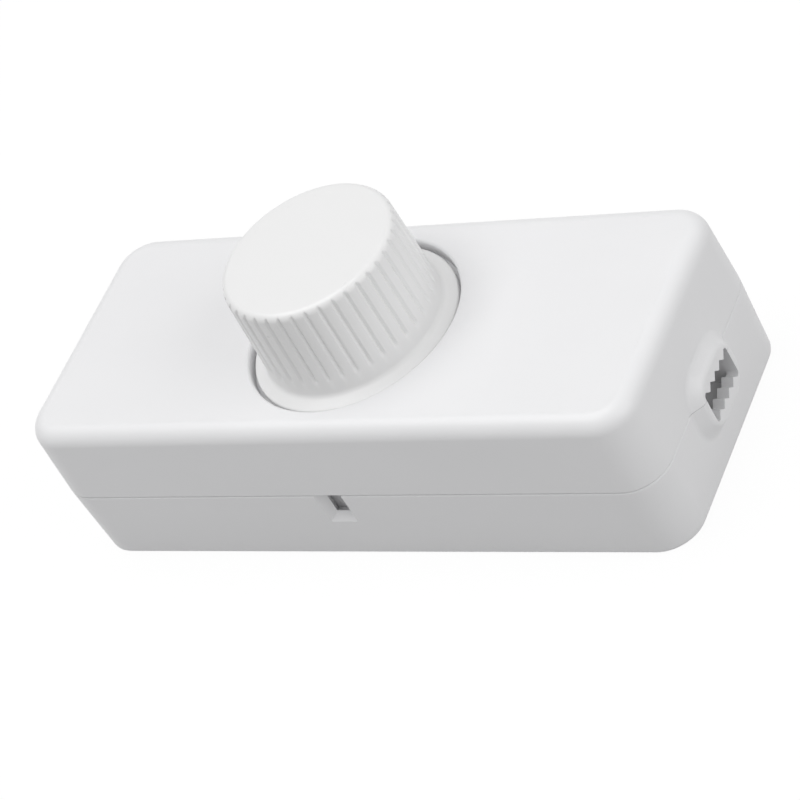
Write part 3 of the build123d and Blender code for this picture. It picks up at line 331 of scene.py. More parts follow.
def settle(obj, name):
    """Names a new primitive and moves its place into its mesh."""
    obj.name = name
    obj.data.name = name
    activate(obj)
    bpy.ops.object.transform_apply(location=True, rotation=True, scale=True)
    return obj


def pick(obj, kind, test):
    """In edit mode, selects the VERT, EDGE or FACE elements that pass a test and nothing else."""
    bpy.ops.mesh.select_mode(type=kind)
    bpy.ops.mesh.select_all(action="DESELECT")
    mesh = bmesh.from_edit_mesh(obj.data)
    elements = {"VERT": mesh.verts, "EDGE": mesh.edges, "FACE": mesh.faces}[kind]
    for element in elements:
        if test(element):
            element.select_set(True)
    mesh.select_flush_mode()
    bmesh.update_edit_mesh(obj.data)


def extrude(move):
    """Draws what is selected out along a move."""
    bpy.ops.mesh.extrude_region_move(TRANSFORM_OT_translate={"value": move})


def shift(piece, test, move):
    """In edit mode, moves the vertices that pass a test."""
    pick(piece, "VERT", test)
    bpy.ops.transform.translate(value=move)


def stretch(ratio, middle):
    """Scales what is selected about a point."""
    bpy.ops.transform.resize(value=ratio, center_override=middle)


def slice_at(height, **options):
    """Cuts the whole mesh along a level plane."""
    bpy.ops.mesh.select_all(action="SELECT")
    bpy.ops.mesh.bisect(plane_co=(0, 0, height), plane_no=(0, 0, 1), threshold=CUT_TOLERANCE, **options)


def on_plane(axis, distance):
    """Test for an edge or a face that lies on a plane square to an axis."""
    return lambda part: all(abs(v.co[axis] - distance) < NEAR for v in part.verts)


def runs_along(edge):
    """Test for an edge that runs along the cord."""
    a, b = edge.verts
    return abs(a.co.x - b.co.x) > NEAR


def upright(edge):
    """Test for an edge that stands upright."""
    a, b = edge.verts
    return abs(a.co.x - b.co.x) < NEAR and abs(a.co.y - b.co.y) < NEAR


def box(name, low, high):
    """A box between two corners."""
    deselect_all()
    middle = [(a + b) / 2 for a, b in zip(low, high)]
    bpy.ops.mesh.primitive_cube_add(size=1, location=middle, scale=[b - a for a, b in zip(low, high)])
    return settle(bpy.context.active_object, name)


def rod(name, x, y, low, high, diameter, sides=ROD_SIDES):
    """An upright round rod."""
    deselect_all()
    bpy.ops.mesh.primitive_cylinder_add(vertices=sides, radius=diameter / 2, depth=high - low,
                                        location=(x, y, (low + high) / 2))
    return settle(bpy.context.active_object, name)


def outline_box(name, housing, inset, low, high):
    """A box with the housing's rounded outline, smaller by an inset all round."""
    length = housing.length / 2 - inset
    width = housing.width / 2 - inset
    block = box(name, (-length, -width, low), (length, width, high))
    soften(block, upright, housing.corner - inset, CORNER_STEPS)
    return block


def drafted_box(name, housing, inset, low, high, drawn_in, draft):
    """A box with the housing's rounded outline, drawn in at one height by the draft of its mould."""
    block = outline_box(name, housing, inset, low, high)
    lean = (high - low) * math.tan(draft)
    ratio = [1 - lean / (side / 2 - inset) for side in (housing.length, housing.width)]
    with editing(block):
        pick(block, "VERT", lambda v: abs(v.co.z - drawn_in) < NEAR)
        stretch((*ratio, 1), (0, 0, drawn_in))
    return block


def soften(block, test, radius, steps):
    """Rounds the edges that pass a test."""
    with editing(block):
        pick(block, "EDGE", test)
        bpy.ops.mesh.bevel(offset=radius, segments=steps, affect="EDGES", clamp_overlap=False)


def cut(block, height, keep_above):
    """Cuts a closed piece at a height and closes it again."""
    with editing(block):
        slice_at(height, use_fill=True, clear_inner=keep_above, clear_outer=not keep_above)
    return block


def combine(piece, tool, operation):
    """Applies one boolean to a piece and deletes the tool."""
    activate(piece)
    bpy.ops.object.modifier_add(type="BOOLEAN")
    modifier = piece.modifiers[-1]
    modifier.operation = operation
    modifier.solver = "EXACT"
    modifier.object = tool
    bpy.ops.object.modifier_apply(modifier=modifier.name)
    activate(tool)
    bpy.ops.object.delete()
    activate(piece)


def join(pieces):
    """Joins separate tools into one object."""
    activate(pieces[0])
    for piece in pieces[1:]:
        piece.select_set(True)
    bpy.ops.object.join()
    return bpy.context.active_object


def copy_of(piece, along=0.0, across=0.0, turn=0.0):
    """A copy with its own mesh, turned about the upright middle axis and then moved along and across."""
    activate(piece)
    bpy.ops.object.duplicate()
    copied = bpy.context.active_object
    copied.rotation_euler.z = turn
    copied.location = (along, across, 0)
    return settle(copied, piece.name + "_copy")


def at_both_ends(piece):
    """A piece of the right end, together with its copy at the left end."""
    return join([piece, copy_of(piece, turn=math.pi)])


def finish_shading(piece):
    """Smooth shading that stays flat on flat faces."""
    with editing(piece):
        bpy.ops.mesh.select_all(action="SELECT")
        bpy.ops.mesh.remove_doubles(threshold=WELD)
        bpy.ops.mesh.dissolve_degenerate(threshold=WELD)
        bpy.ops.mesh.normals_make_consistent(inside=False)
    bpy.ops.object.shade_smooth_by_angle(angle=SMOOTH_ANGLE)
    bpy.ops.object.modifier_add(type="WEIGHTED_NORMAL")
    piece.modifiers[-1].keep_sharp = True
    bpy.ops.object.modifier_apply(modifier=piece.modifiers[-1].name)


def rim_width(sizes):
    """Width of the raised rim round a mouth, at the end wall."""
    return sizes.width + 2 * (sizes.end_rim + sizes.slope)


def entry_rim(sizes, housing):
    """The raised rim round the right mouth, with soft front edges and a soft foot, before the split."""
    width = rim_width(sizes)
    height = sizes.gap + 2 * (sizes.depth + sizes.rim + sizes.slope)
    middle = housing.split - sizes.gap / 2
    wall_face = housing.length / 2
    start = wall_face - sizes.blend_rise
    outline = [width + 2 * sizes.blend, height + 2 * sizes.blend]
    block = box("entry_rim", (wall_face - housing.wall, -outline[0] / 2, middle - outline[1] / 2),
                (start, outline[0] / 2, middle + outline[1] / 2))
    soften(block, runs_along, sizes.corner + sizes.slope, EDGE_STEPS)
    with editing(block):
        pick(block, "FACE", on_plane(X, start))
        steps = ((2 * sizes.blend_rise, -sizes.blend_rise), (sizes.proud - sizes.blend_rise, -sizes.slope))
        for step, inset in steps:
            smaller = [width + 2 * inset, height + 2 * inset]
            extrude((step, 0, 0))
            stretch((1, smaller[0] / outline[0], smaller[1] / outline[1]), (0, 0, middle))
            outline = smaller
    soften(block, on_plane(X, wall_face + sizes.proud), sizes.soft_edge, SOFT_STEPS)
    return block


def mouth(sizes, housing, open_above):
    """What is cut out of the right end: the toothed mouth and the wider channel behind it."""
    deselect_all()
    span = sizes.teeth * sizes.pitch
    root = sizes.gap / 2 + sizes.depth
    inner = guide_start(sizes) - housing.wall
    outer = housing.length / 2 + 2 * sizes.proud
    middle = (inner, 0, housing.split - sizes.gap / 2)
    bpy.ops.mesh.primitive_grid_add(x_subdivisions=2 * sizes.teeth, y_subdivisions=1, size=1,
                                    location=middle, rotation=(math.pi / 2, 0, math.pi / 2))
    slot = settle(bpy.context.active_object, "mouth")
    with editing(slot):
        stretch((1, span, 2 * root), middle)
        half_pitch = sizes.pitch / 2
        pick(slot, "VERT", lambda v: round((v.co.y + span / 2) / half_pitch) % 2 == 1)
        stretch((1, 1, 1 - sizes.depth / root), middle)
        margin = (sizes.width - span) / 2
        for end in (-1, 1):
            pick(slot, "EDGE", on_plane(Y, end * span / 2))
            extrude((0, end * margin, 0))
        if open_above:
            pick(slot, "VERT", lambda v: v.co.z > middle[2])
            stretch((1, 1, 0), (0, 0, housing.split + housing.wall))
        bpy.ops.mesh.select_all(action="SELECT")
        extrude((outer - inner, 0, 0))
        bpy.ops.mesh.select_all(action="SELECT")
        bpy.ops.mesh.normals_make_consistent(inside=False)
    edge = sizes.width / 2 - NEAR
    soften(slot, lambda e: runs_along(e) and abs(e.verts[0].co.y) > edge, sizes.mouth_corner, SOFT_STEPS)
    reach = root + sizes.relief
    teeth_start = housing.length / 2 + sizes.proud - sizes.tooth_length
    channel = box("channel", (inner - NEAR, -sizes.width / 2, middle[2] - reach),
                  (teeth_start, sizes.width / 2, middle[2] + reach))
    combine(slot, channel, "UNION")
    return slot


def guide(sizes, housing, low, high):
    """The block behind the right mouth that leads the cord to its clamp."""
    half = sizes.width / 2 + sizes.cheek
    return box("guide", (guide_start(sizes), -half, low), (housing.length / 2 - housing.wall / 2, half, high))


def guide_start(sizes):
    """Distance from the middle to the inner end of a guide, just clear of the clamp bar."""
    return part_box("cord_clamp_right")[1].x + sizes.bar_gap


def outer_shell(name, housing, low, high, drawn_in, draft, edge, steps, seam_edge):
    """Solid outside of one shell, with its draft, its rounded face and its soft seam."""
    block = drafted_box(name, housing, 0, low, high, drawn_in, draft)
    seam = high if drawn_in == low else low
    soften(block, on_plane(Z, drawn_in), edge, steps)
    soften(block, on_plane(Z, seam), seam_edge, SEAM_STEPS)
    return block


def clear_mouths(ring, housing, entry, clearance):
    """Cuts a ring away where the cord entries pass through it."""
    half = rim_width(entry) / 2 + clearance
    room = box("mouth_room", (-housing.length, -half, 0), (housing.length, half, housing.height))
    combine(ring, room, "DIFFERENCE")


class DIMMER_OT_base_shell(bpy.types.Operator):
    """Models the base shell with its posts, half mouths and pry notch."""

    bl_idname = "dimmer.base_shell"
    bl_label = "Base shell"

    def execute(self, context):
        settings = context.scene.dimmer
        housing = settings.housing
        entry = settings.entry
        shell = outer_shell("base_shell_visual", housing, 0, housing.split, 0, housing.base_draft,
                            housing.bottom_edge, SOFT_STEPS, housing.base_seam_edge)
        over = housing.wall
        space = drafted_box("space", housing, housing.wall, housing.wall, housing.split + over,
                            housing.wall, housing.base_draft)
        combine(shell, space, "DIFFERENCE")
        combine(shell, at_both_ends(cut(entry_rim(entry, housing), housing.split, False)), "UNION")
        combine(shell, at_both_ends(guide(entry, housing, housing.wall / 2, housing.split)), "UNION")
        rebate = outline_box("rebate", housing, housing.lip, housing.split - housing.tongue - housing.fit,
                             housing.split + over)
        clear_mouths(rebate, housing, entry, 0)
        combine(shell, rebate, "DIFFERENCE")
        combine(shell, at_both_ends(mouth(entry, housing, True)), "DIFFERENCE")
        self.add_posts(shell, housing, entry, settings.post)
        self.cut_pockets(shell, housing, settings.hook)
        self.cut_notch(shell, housing, settings.notch)
        finish_shading(shell)
        hand_over(shell, HOUSING, "housing_plastic", "base_shell")
        return {"FINISHED"}

    def add_posts(self, shell, housing, entry, sizes):
        """Adds the board's posts and pegs and the clamps' posts and saddles."""
        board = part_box("circuit_board")
        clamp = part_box("cord_clamp_right")
        low = housing.wall / 2
        x = board[1].x - sizes.inset_x
        y = board[1].y - sizes.inset_y
        clamp_x = (clamp[0].x + clamp[1].x) / 2
        clamp_y = sizes.clamp_spacing / 2
        clamp_seat = clamp[0].z + sizes.clamp_ribs
        post = rod("post", x, y, low, board[0].z, sizes.post)
        pillar = rod("pillar", clamp_x, clamp_y, low, clamp_seat, sizes.clamp_post)
        saddle = box("saddle", (clamp_x - sizes.saddle / 2, -entry.width / 2, low),
                     (clamp_x + sizes.saddle / 2, entry.width / 2, housing.split - entry.gap))
        posts = [post, copy_of(post, along=-2 * x), pillar, copy_of(pillar, across=-2 * clamp_y), saddle]
        combine(shell, at_both_ends(join(posts)), "UNION")
        peg = rod("peg", x, -y, board[0].z - sizes.peg, board[1].z + sizes.peg_rise, sizes.peg)
        combine(shell, at_both_ends(peg), "UNION")
        hole = rod("hole", x, y, board[0].z - sizes.board_hole_depth, board[1].z, sizes.board_hole)
        clamp_hole = rod("hole", clamp_x, clamp_y, clamp_seat - sizes.clamp_hole_depth, clamp[1].z,
                         sizes.clamp_hole)
        holes = [hole, clamp_hole, copy_of(clamp_hole, across=-2 * clamp_y)]
        combine(shell, at_both_ends(join(holes)), "DIFFERENCE")

    def cut_pockets(self, shell, housing, sizes):
        """Cuts the pockets in the long walls that the barbs of the hooks catch in."""
        face = housing.width / 2 - housing.wall - sizes.clearance
        low = housing.split + housing.seam - sizes.reach - sizes.pocket_gap
        half = sizes.width / 2 + sizes.clearance
        pocket = box("pocket", (sizes.spacing / 2 - half, face, low),
                     (sizes.spacing / 2 + half, face + sizes.barb_depth + sizes.pocket_gap,
                      low + sizes.barb_height + 2 * sizes.pocket_gap))
        pair = join([pocket, copy_of(pocket, along=-sizes.spacing)])
        combine(shell, at_both_ends(pair), "DIFFERENCE")

    def cut_notch(self, shell, housing, notch):
        """Cuts the bevelled pry notch, and the wider slot behind its thin edge."""
        face = -housing.width / 2
        deep = face + notch.depth
        top = housing.split
        recess = box("recess", (-notch.width, face - MM, top - notch.height), (0, face, top + MM))
        with editing(recess):
            pick(recess, "FACE", on_plane(Y, face))
            extrude((0, notch.depth, 0))
            shift(recess, lambda v: v.co.y > deep - NEAR and v.co.x < NEAR - notch.width,
                  (notch.width - notch.slot_width, 0, 0))
            shift(recess, lambda v: v.co.y > deep - NEAR and v.co.z < top - notch.height + NEAR,
                  (0, 0, notch.height - notch.slot_height))
        combine(shell, recess, "DIFFERENCE")
        low = top - notch.slot_height - notch.relief
        slot = box("slot", (-notch.slot_width - notch.relief, deep - NEAR / 2, low),
                   (0, face + 2 * housing.wall, top + MM))
        combine(shell, slot, "DIFFERENCE")


class DIMMER_OT_top_cover(bpy.types.Operator):
    """Models the top cover with its dish, half mouths, tongue and snap hooks."""

    bl_idname = "dimmer.top_cover"
    bl_label = "Top cover"

    def execute(self, context):
        settings = context.scene.dimmer
        housing = settings.housing
        entry = settings.entry
        dish = settings.dish
        seam = housing.split + housing.seam
        roof = housing.height - housing.wall
        shell = outer_shell("top_cover_visual", housing, seam, housing.height, housing.height,
                            housing.cover_draft, housing.top_edge, EDGE_STEPS, housing.cover_seam_edge)
        space = drafted_box("space", housing, housing.wall, seam - housing.wall, roof, roof,
                            housing.cover_draft)
        combine(shell, space, "DIFFERENCE")
        underside = housing.height - dish.depth - dish.floor
        collar = rod("collar", 0, 0, underside, roof + housing.wall / 4, dish.diameter + 2 * dish.wall,
                     DISC_SIDES)
        combine(shell, collar, "UNION")
        well = rod("well", 0, 0, housing.height - dish.depth, housing.height + dish.depth, dish.diameter,
                   DISH_SIDES)
        combine(shell, well, "DIFFERENCE")
        reach = dish.diameter / 2 + NEAR
        on_top = on_plane(Z, housing.height)
        soften(shell, lambda e: on_top(e) and e.verts[0].co.xy.length < reach, dish.edge, SOFT_STEPS)
        hole = rod("hole", 0, 0, underside - dish.floor, housing.height, dish.hole, HOLE_SIDES)
        combine(shell, hole, "DIFFERENCE")
        combine(shell, at_both_ends(cut(entry_rim(entry, housing), seam, True)), "UNION")
        combine(shell, at_both_ends(guide(entry, housing, seam, roof + housing.wall / 2)), "UNION")
        combine(shell, at_both_ends(mouth(entry, housing, False)), "DIFFERENCE")
        self.add_tongue(shell, settings, seam)
        self.add_hooks(shell, housing, settings.hook, seam)
        self.add_tab(shell, settings, seam)
        finish_shading(shell)
        hand_over(shell, HOUSING, "housing_plastic", "top_cover")
        return {"FINISHED"}

    def add_tongue(self, shell, settings, seam):
        """Adds the tongue that stands inside the rim of the base."""
        housing = settings.housing
        notch = settings.notch
        clearance = settings.hook.clearance
        low = housing.split - housing.tongue
        tongue = outline_box("tongue", housing, housing.lip + housing.fit, low, seam + housing.fit)
        inside = outline_box("inside", housing, housing.wall, low - housing.wall, seam + housing.wall)
        combine(tongue, inside, "DIFFERENCE")
        clear_mouths(tongue, housing, settings.entry, clearance)
        room = box("notch_room", (-notch.width - clearance, -housing.width, 0),
                   (clearance, 0, housing.height))
        combine(tongue, room, "DIFFERENCE")
        combine(shell, tongue, "UNION")

    def add_hooks(self, shell, housing, sizes, seam):
        """Adds the four snap hooks inside the long walls."""
        outer = housing.width / 2 - housing.wall - sizes.clearance
        low = seam - sizes.reach
        start = (sizes.spacing - sizes.width) / 2
        end = start + sizes.width
        hook = box("hook", (start, outer - sizes.thickness, low), (end, outer, seam + sizes.root))
        barb_top = low + sizes.barb_height
        outside = on_plane(Y, outer)
        with editing(hook):
            slice_at(barb_top)
            slice_at(seam + housing.fit / 2)
            pick(hook, "FACE", lambda f: outside(f) and f.calc_center_median().z < barb_top)
            extrude((0, sizes.barb_depth, 0))
            shift(hook, lambda v: v.co.y > outer + NEAR and v.co.z < low + NEAR, (0, 0, sizes.barb_depth))
            pick(hook, "FACE", lambda f: outside(f) and f.calc_center_median().z > seam + housing.fit / 2)
            extrude((0, sizes.clearance + housing.wall / 4, 0))
        pair = join([hook, copy_of(hook, along=-sizes.spacing)])
        combine(shell, at_both_ends(pair), "UNION")

    def add_tab(self, shell, settings, seam):
        """Adds the plain tab that stands behind the pry notch."""
        housing = settings.housing
        sizes = settings.hook
        outer = housing.width / 2 - housing.wall - sizes.clearance
        start = -settings.notch.width - sizes.tab_margin
        tab = box("tab", (start, -outer, seam - sizes.tab_reach),
                  (sizes.tab_margin, sizes.thickness - outer, seam + sizes.root))
        wall = -outer - sizes.clearance - housing.wall / 4
        root = box("root", (start + sizes.clearance, wall, seam + housing.fit / 2),
                   (sizes.tab_margin - sizes.clearance, sizes.thickness / 2 - outer, seam + sizes.root / 2))
        combine(tab, root, "UNION")
        combine(shell, tab, "UNION")


def curve(start, control, end, steps):
    """Points of a rounding that leaves its start and meets its end along the lines to one corner."""
    points = []
    for step in range(steps + 1):
        share = step / steps
        weights = ((1 - share) ** 2, 2 * share * (1 - share), share ** 2)
        points.append(tuple(sum(w * p[k] for w, p in zip(weights, (start, control, end))) for k in (0, 1)))
    return points


def knob_side(knob, housing, height):
    """Radius and height of a point of the knob's leaning side."""
    return knob.top_radius + (housing.height + knob.rise - height) * math.tan(knob.draft), height


def knob_profile(knob, housing, dish):
    """Radius and height of each ring of the knob, from the middle of its top to the end of its bore."""
    top = housing.height + knob.rise
    bottom = housing.height - dish.depth + knob.floor_gap
    skirt = dish.diameter / 2 - knob.skirt_gap
    edge = (skirt, bottom + knob.skirt_edge)
    slope = (-math.cos(knob.skirt_slope), math.sin(knob.skirt_slope))
    foot_height = edge[1] + (skirt - knob.top_radius) * math.tan(knob.skirt_slope) * knob.foot_share
    foot = knob_side(knob, housing, foot_height)

    rings = [(knob.top_radius * share, top) for share in TOP_RINGS]
    rim_centre = knob.top_radius - knob.rim * math.tan((math.pi / 2 - knob.draft) / 2)
    for step in range(EDGE_STEPS + 1):
        angle = step / EDGE_STEPS * (math.pi / 2 + knob.draft)
        rings.append((rim_centre + knob.rim * math.sin(angle), top - knob.rim + knob.rim * math.cos(angle)))
    fade_top = housing.height + knob.flute_start + knob.flute_fade
    rings.append(knob_side(knob, housing, (rings[-1][1] + fade_top) / 2))
    for step in range(FADE_STEPS + 1):
        rings.append(knob_side(knob, housing, fade_top - step / FADE_STEPS * knob.flute_fade))

    reach = knob.foot_fillet * math.tan((math.pi / 2 - knob.skirt_slope - knob.draft) / 2)
    leave = knob_side(knob, housing, foot_height + reach)
    meet = (foot[0] - reach * slope[0], foot[1] - reach * slope[1])
    rings += curve(leave, foot, meet, FLARE_STEPS)
    over = (skirt + knob.skirt_round * slope[0], edge[1] + knob.skirt_round * slope[1])
    rings += curve(over, edge, (skirt, edge[1] - knob.skirt_round), SOFT_STEPS)
    rings += [(skirt, bottom + knob.skirt_round / 2), (skirt - knob.skirt_round / 2, bottom),
              (skirt - knob.wall, bottom), (foot[0] - knob.wall, foot[1]),
              (knob.top_radius - knob.wall, top - knob.wall), (knob.hub / 2, top - knob.wall),
              (knob.hub / 2, bottom), (knob.bore / 2, bottom), (knob.bore / 2, top - knob.bore_end)]
    return rings


class DIMMER_OT_rotary_knob(bpy.types.Operator):
    """Models the fluted knob with its flared skirt, ring by ring from its top."""

    bl_idname = "dimmer.rotary_knob"
    bl_label = "Rotary knob"

    steps_per_flute = 16
    groove_power = 0.8

    def execute(self, context):
        housing = context.scene.dimmer.housing
        dish = context.scene.dimmer.dish
        knob = context.scene.dimmer.knob
        rings = knob_profile(knob, housing, dish)
        count = knob.flutes * self.steps_per_flute
        deselect_all()
        radius, height = rings[0]
        bpy.ops.mesh.primitive_circle_add(vertices=count, radius=radius, fill_type="TRIFAN",
                                          location=(0, 0, height))
        piece = settle(bpy.context.active_object, "rotary_knob_visual")
        with editing(piece):
            pick(piece, "EDGE", lambda e: all(v.co.xy.length > NEAR for v in e.verts))
            for (old_radius, old_height), (radius, height) in zip(rings, rings[1:]):
                extrude((0, 0, height - old_height))
                stretch((radius / old_radius, radius / old_radius, 1), (0, 0, height))
            extrude((0, 0, 0))
            bpy.ops.mesh.merge(type="CENTER")
            self.press_flutes(piece, knob, housing)
            self.flatten_bore(piece, knob, rings[-1][1])
        self.add_ribs(piece, knob, housing)
        finish_shading(piece)
        hand_over(piece, KNOB_DRIVE, "knob_plastic", "rotary_knob")
        return {"FINISHED"}

    def groove(self, knob, across, height, low):
        """Depth of the grooved side under its leaning line, across a groove and at a height."""
        half_pitch = math.pi * knob.top_radius / knob.flutes
        half_width = knob.flute_width / 2
        share = min(max((height - low) / knob.flute_fade, 0), 1)
        fade = math.sin(share * math.pi / 2)
        if across >= half_width:
            return fade * knob.crown * ((half_pitch - across) / (half_pitch - half_width)) ** 2
        depth = (knob.flute_depth - knob.crown) * (1 - across / half_width) ** self.groove_power
        return fade * (knob.crown + depth)

    def press_flutes(self, piece, knob, housing):
        """Moves the lines of vertices along every groove inwards, ring by ring."""
        low = housing.height + knob.flute_start
        inner = knob.top_radius - knob.wall + NEAR
        steps = self.steps_per_flute
        lines = {}
        for vert in bmesh.from_edit_mesh(piece.data).verts:
            radius = vert.co.xy.length
            if vert.co.z > low + NEAR and radius > inner:
                turn = round(math.atan2(vert.co.y, vert.co.x) / math.tau * knob.flutes * steps)
                step = abs((turn % steps) - steps // 2)
                ring = (round(vert.co.z / NEAR), round(radius / NEAR), step)
                lines.setdefault(ring, []).append(vert.index)
        bpy.ops.mesh.select_mode(type="VERT")
        for (height, radius, step), members in lines.items():
            height, radius = height * NEAR, radius * NEAR
            side = knob_side(knob, housing, height)[0]
            across = side * math.tau * step / steps / knob.flutes
            floor = side - self.groove(knob, across, height, low)
            if floor < radius - NEAR:
                bpy.ops.mesh.select_all(action="DESELECT")
                mesh = bmesh.from_edit_mesh(piece.data)
                mesh.verts.ensure_lookup_table()
                for index in members:
                    mesh.verts[index].select_set(True)
                bmesh.update_edit_mesh(piece.data)
                stretch((floor / radius, floor / radius, 1), (0, 0, height))

    def flatten_bore(self, piece, knob, end):
        """Presses the flat of the bore that meets the flat of the shaft."""
        flat = knob.shaft / 2 - knob.shaft_flat + (knob.bore - knob.shaft) / 2
        half_bore = knob.bore / 2 + NEAR
        pick(piece, "VERT",
             lambda v: abs(v.co.z - end) < NEAR and v.co.xy.length < half_bore and v.co.y > flat)
        stretch((1, 0, 1), (0, flat, end))

    def add_ribs(self, piece, knob, housing):
        """Adds the ribs between the hub and the wall, under the roof."""
        inner = (knob.hub + knob.bore) / 4
        outer = knob.top_radius - knob.wall / 2
        roof = housing.height + knob.rise - knob.wall
        rib = box("rib", (inner, -knob.rib_thickness / 2, housing.height + knob.rib_start),
                  (outer, knob.rib_thickness / 2, roof + knob.wall / 4))
        copies = [copy_of(rib, turn=math.tau * step / knob.ribs) for step in range(1, knob.ribs)]
        combine(piece, join([rib, *copies]), "UNION")


def hand_over(piece, body, slot, node):
    """Puts a finished piece on its body, in the place of its CAD node."""
    piece.data.materials.clear()
    piece.data.materials.append(finish_of(slot))
    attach(piece, body)
    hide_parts(node)


def add_node(tree, kind, values=None):
    """A new node with the values of some of its inputs."""
    node = tree.nodes.new(kind)
    for name, value in (values or {}).items():
        node.inputs[name].default_value = value
    return node


class Finish:
    """A node material with one shader, whose patterns lie on object coordinates."""

    def __init__(self, slot, values):
        self.material = bpy.data.materials.new("finish_" + slot)
        self.material.use_nodes = True
        self.tree = self.material.node_tree
        self.tree.nodes.clear()
        output = add_node(self.tree, "ShaderNodeOutputMaterial")
        self.shader = add_node(self.tree, "ShaderNodeBsdfPrincipled", values)
        self.place = add_node(self.tree, "ShaderNodeTexCoord")
        self.tree.links.new(self.shader.outputs["BSDF"], output.inputs["Surface"])

    def noise(self, scale, detail=3.0, roughness=0.5, axes=(1, 1, 1)):
        """A noise pattern. A share under 1 for an axis draws the pattern out along it."""
        mapping = add_node(self.tree, "ShaderNodeMapping", {"Scale": axes})
        texture = add_node(self.tree, "ShaderNodeTexNoise",
                           {"Scale": scale, "Detail": detail, "Roughness": roughness})
        self.tree.links.new(self.place.outputs["Object"], mapping.inputs["Vector"])
        self.tree.links.new(mapping.outputs["Vector"], texture.inputs["Vector"])
        return texture.outputs["Fac"]

    def colour(self, pattern, colour, shade):
        """Drives the base colour between a colour and its darker shade."""
        ramp = add_node(self.tree, "ShaderNodeValToRGB")
        darker, lighter = ramp.color_ramp.elements
        darker.position = RAMP_START
        darker.color = (*[c * shade for c in colour], 1)
        lighter.position = RAMP_END
        lighter.color = (*colour, 1)
        self.tree.links.new(pattern, ramp.inputs["Fac"])
        self.tree.links.new(ramp.outputs["Color"], self.shader.inputs["Base Color"])

    def roughness(self, pattern, low, high):
        """Drives the roughness between two values."""
        spread = add_node(self.tree, "ShaderNodeMapRange", {"To Min": low, "To Max": high})
        self.tree.links.new(pattern, spread.inputs["Value"])
        self.tree.links.new(spread.outputs["Result"], self.shader.inputs["Roughness"])

    def bump(self, pattern, depth, strength):
        """Adds a fine relief of a depth in millimetres."""
        relief = add_node(self.tree, "ShaderNodeBump", {"Distance": depth * MM, "Strength": strength})
        self.tree.links.new(pattern, relief.inputs["Height"])
        self.tree.links.new(relief.outputs["Normal"], self.shader.inputs["Normal"])


def moulded(slot, colour, roughness, mottle, grain=5000, relief=0.002):
    """Moulded plastic: faint flow marks in the colour and a fine, even grain."""
    finish = Finish(slot, {"IOR": PLASTIC_IOR})
    finish.colour(finish.noise(FLOW_SCALE, axes=(0.5, 1, 1)), colour, 1 - mottle)
    finish.roughness(finish.noise(SHEEN_SCALE), low=roughness - 0.05, high=roughness + 0.05)
    finish.bump(finish.noise(grain, detail=2.0), relief, strength=0.5)
    return finish.material


def metal(slot, colour, roughness, axes):
    """Plated, rolled or drawn metal: fine lines, dull patches and a soft shine."""
    finish = Finish(slot, {"Metallic": 1.0})
    lines = finish.noise(LINE_SCALE, detail=4.0, axes=axes)
    finish.colour(finish.noise(PATCH_SCALE), colour, shade=0.88)
    finish.roughness(lines, low=roughness - 0.08, high=roughness + 0.1)
    finish.bump(lines, depth=0.004, strength=0.4)
    return finish.material


def laminate(slot, colour):
    """Paper laminate of a circuit board: fibres in the colour under a resin skin."""
    finish = Finish(slot, {})
    fibres = finish.noise(FIBRE_SCALE, detail=6.0, roughness=0.7, axes=(0.25, 1, 1))
    finish.colour(fibres, colour, shade=0.72)
    finish.roughness(fibres, low=0.35, high=0.55)
    finish.bump(fibres, depth=0.006, strength=0.4)
    return finish.material


def varnished_wire(slot, colour):
    """Varnished copper wire: warm colour under a thin clear coat."""
    finish = Finish(slot, {"Metallic": 0.7, "Coat Weight": 0.6, "Coat Roughness": 0.15})
    patches = finish.noise(scale=500)
    finish.colour(patches, colour, shade=0.7)
    finish.roughness(patches, low=0.25, high=0.4)
    finish.bump(finish.noise(scale=3000), depth=0.003, strength=0.5)
    return finish.material


def tinted_glass(slot, colour):
    """Glass body of a small component, tinted through."""
    finish = Finish(slot, {"Transmission Weight": 0.6, "IOR": GLASS_IOR})
    patches = finish.noise(scale=900)
    finish.colour(patches, colour, shade=0.85)
    finish.roughness(patches, low=0.04, high=0.1)
    return finish.material


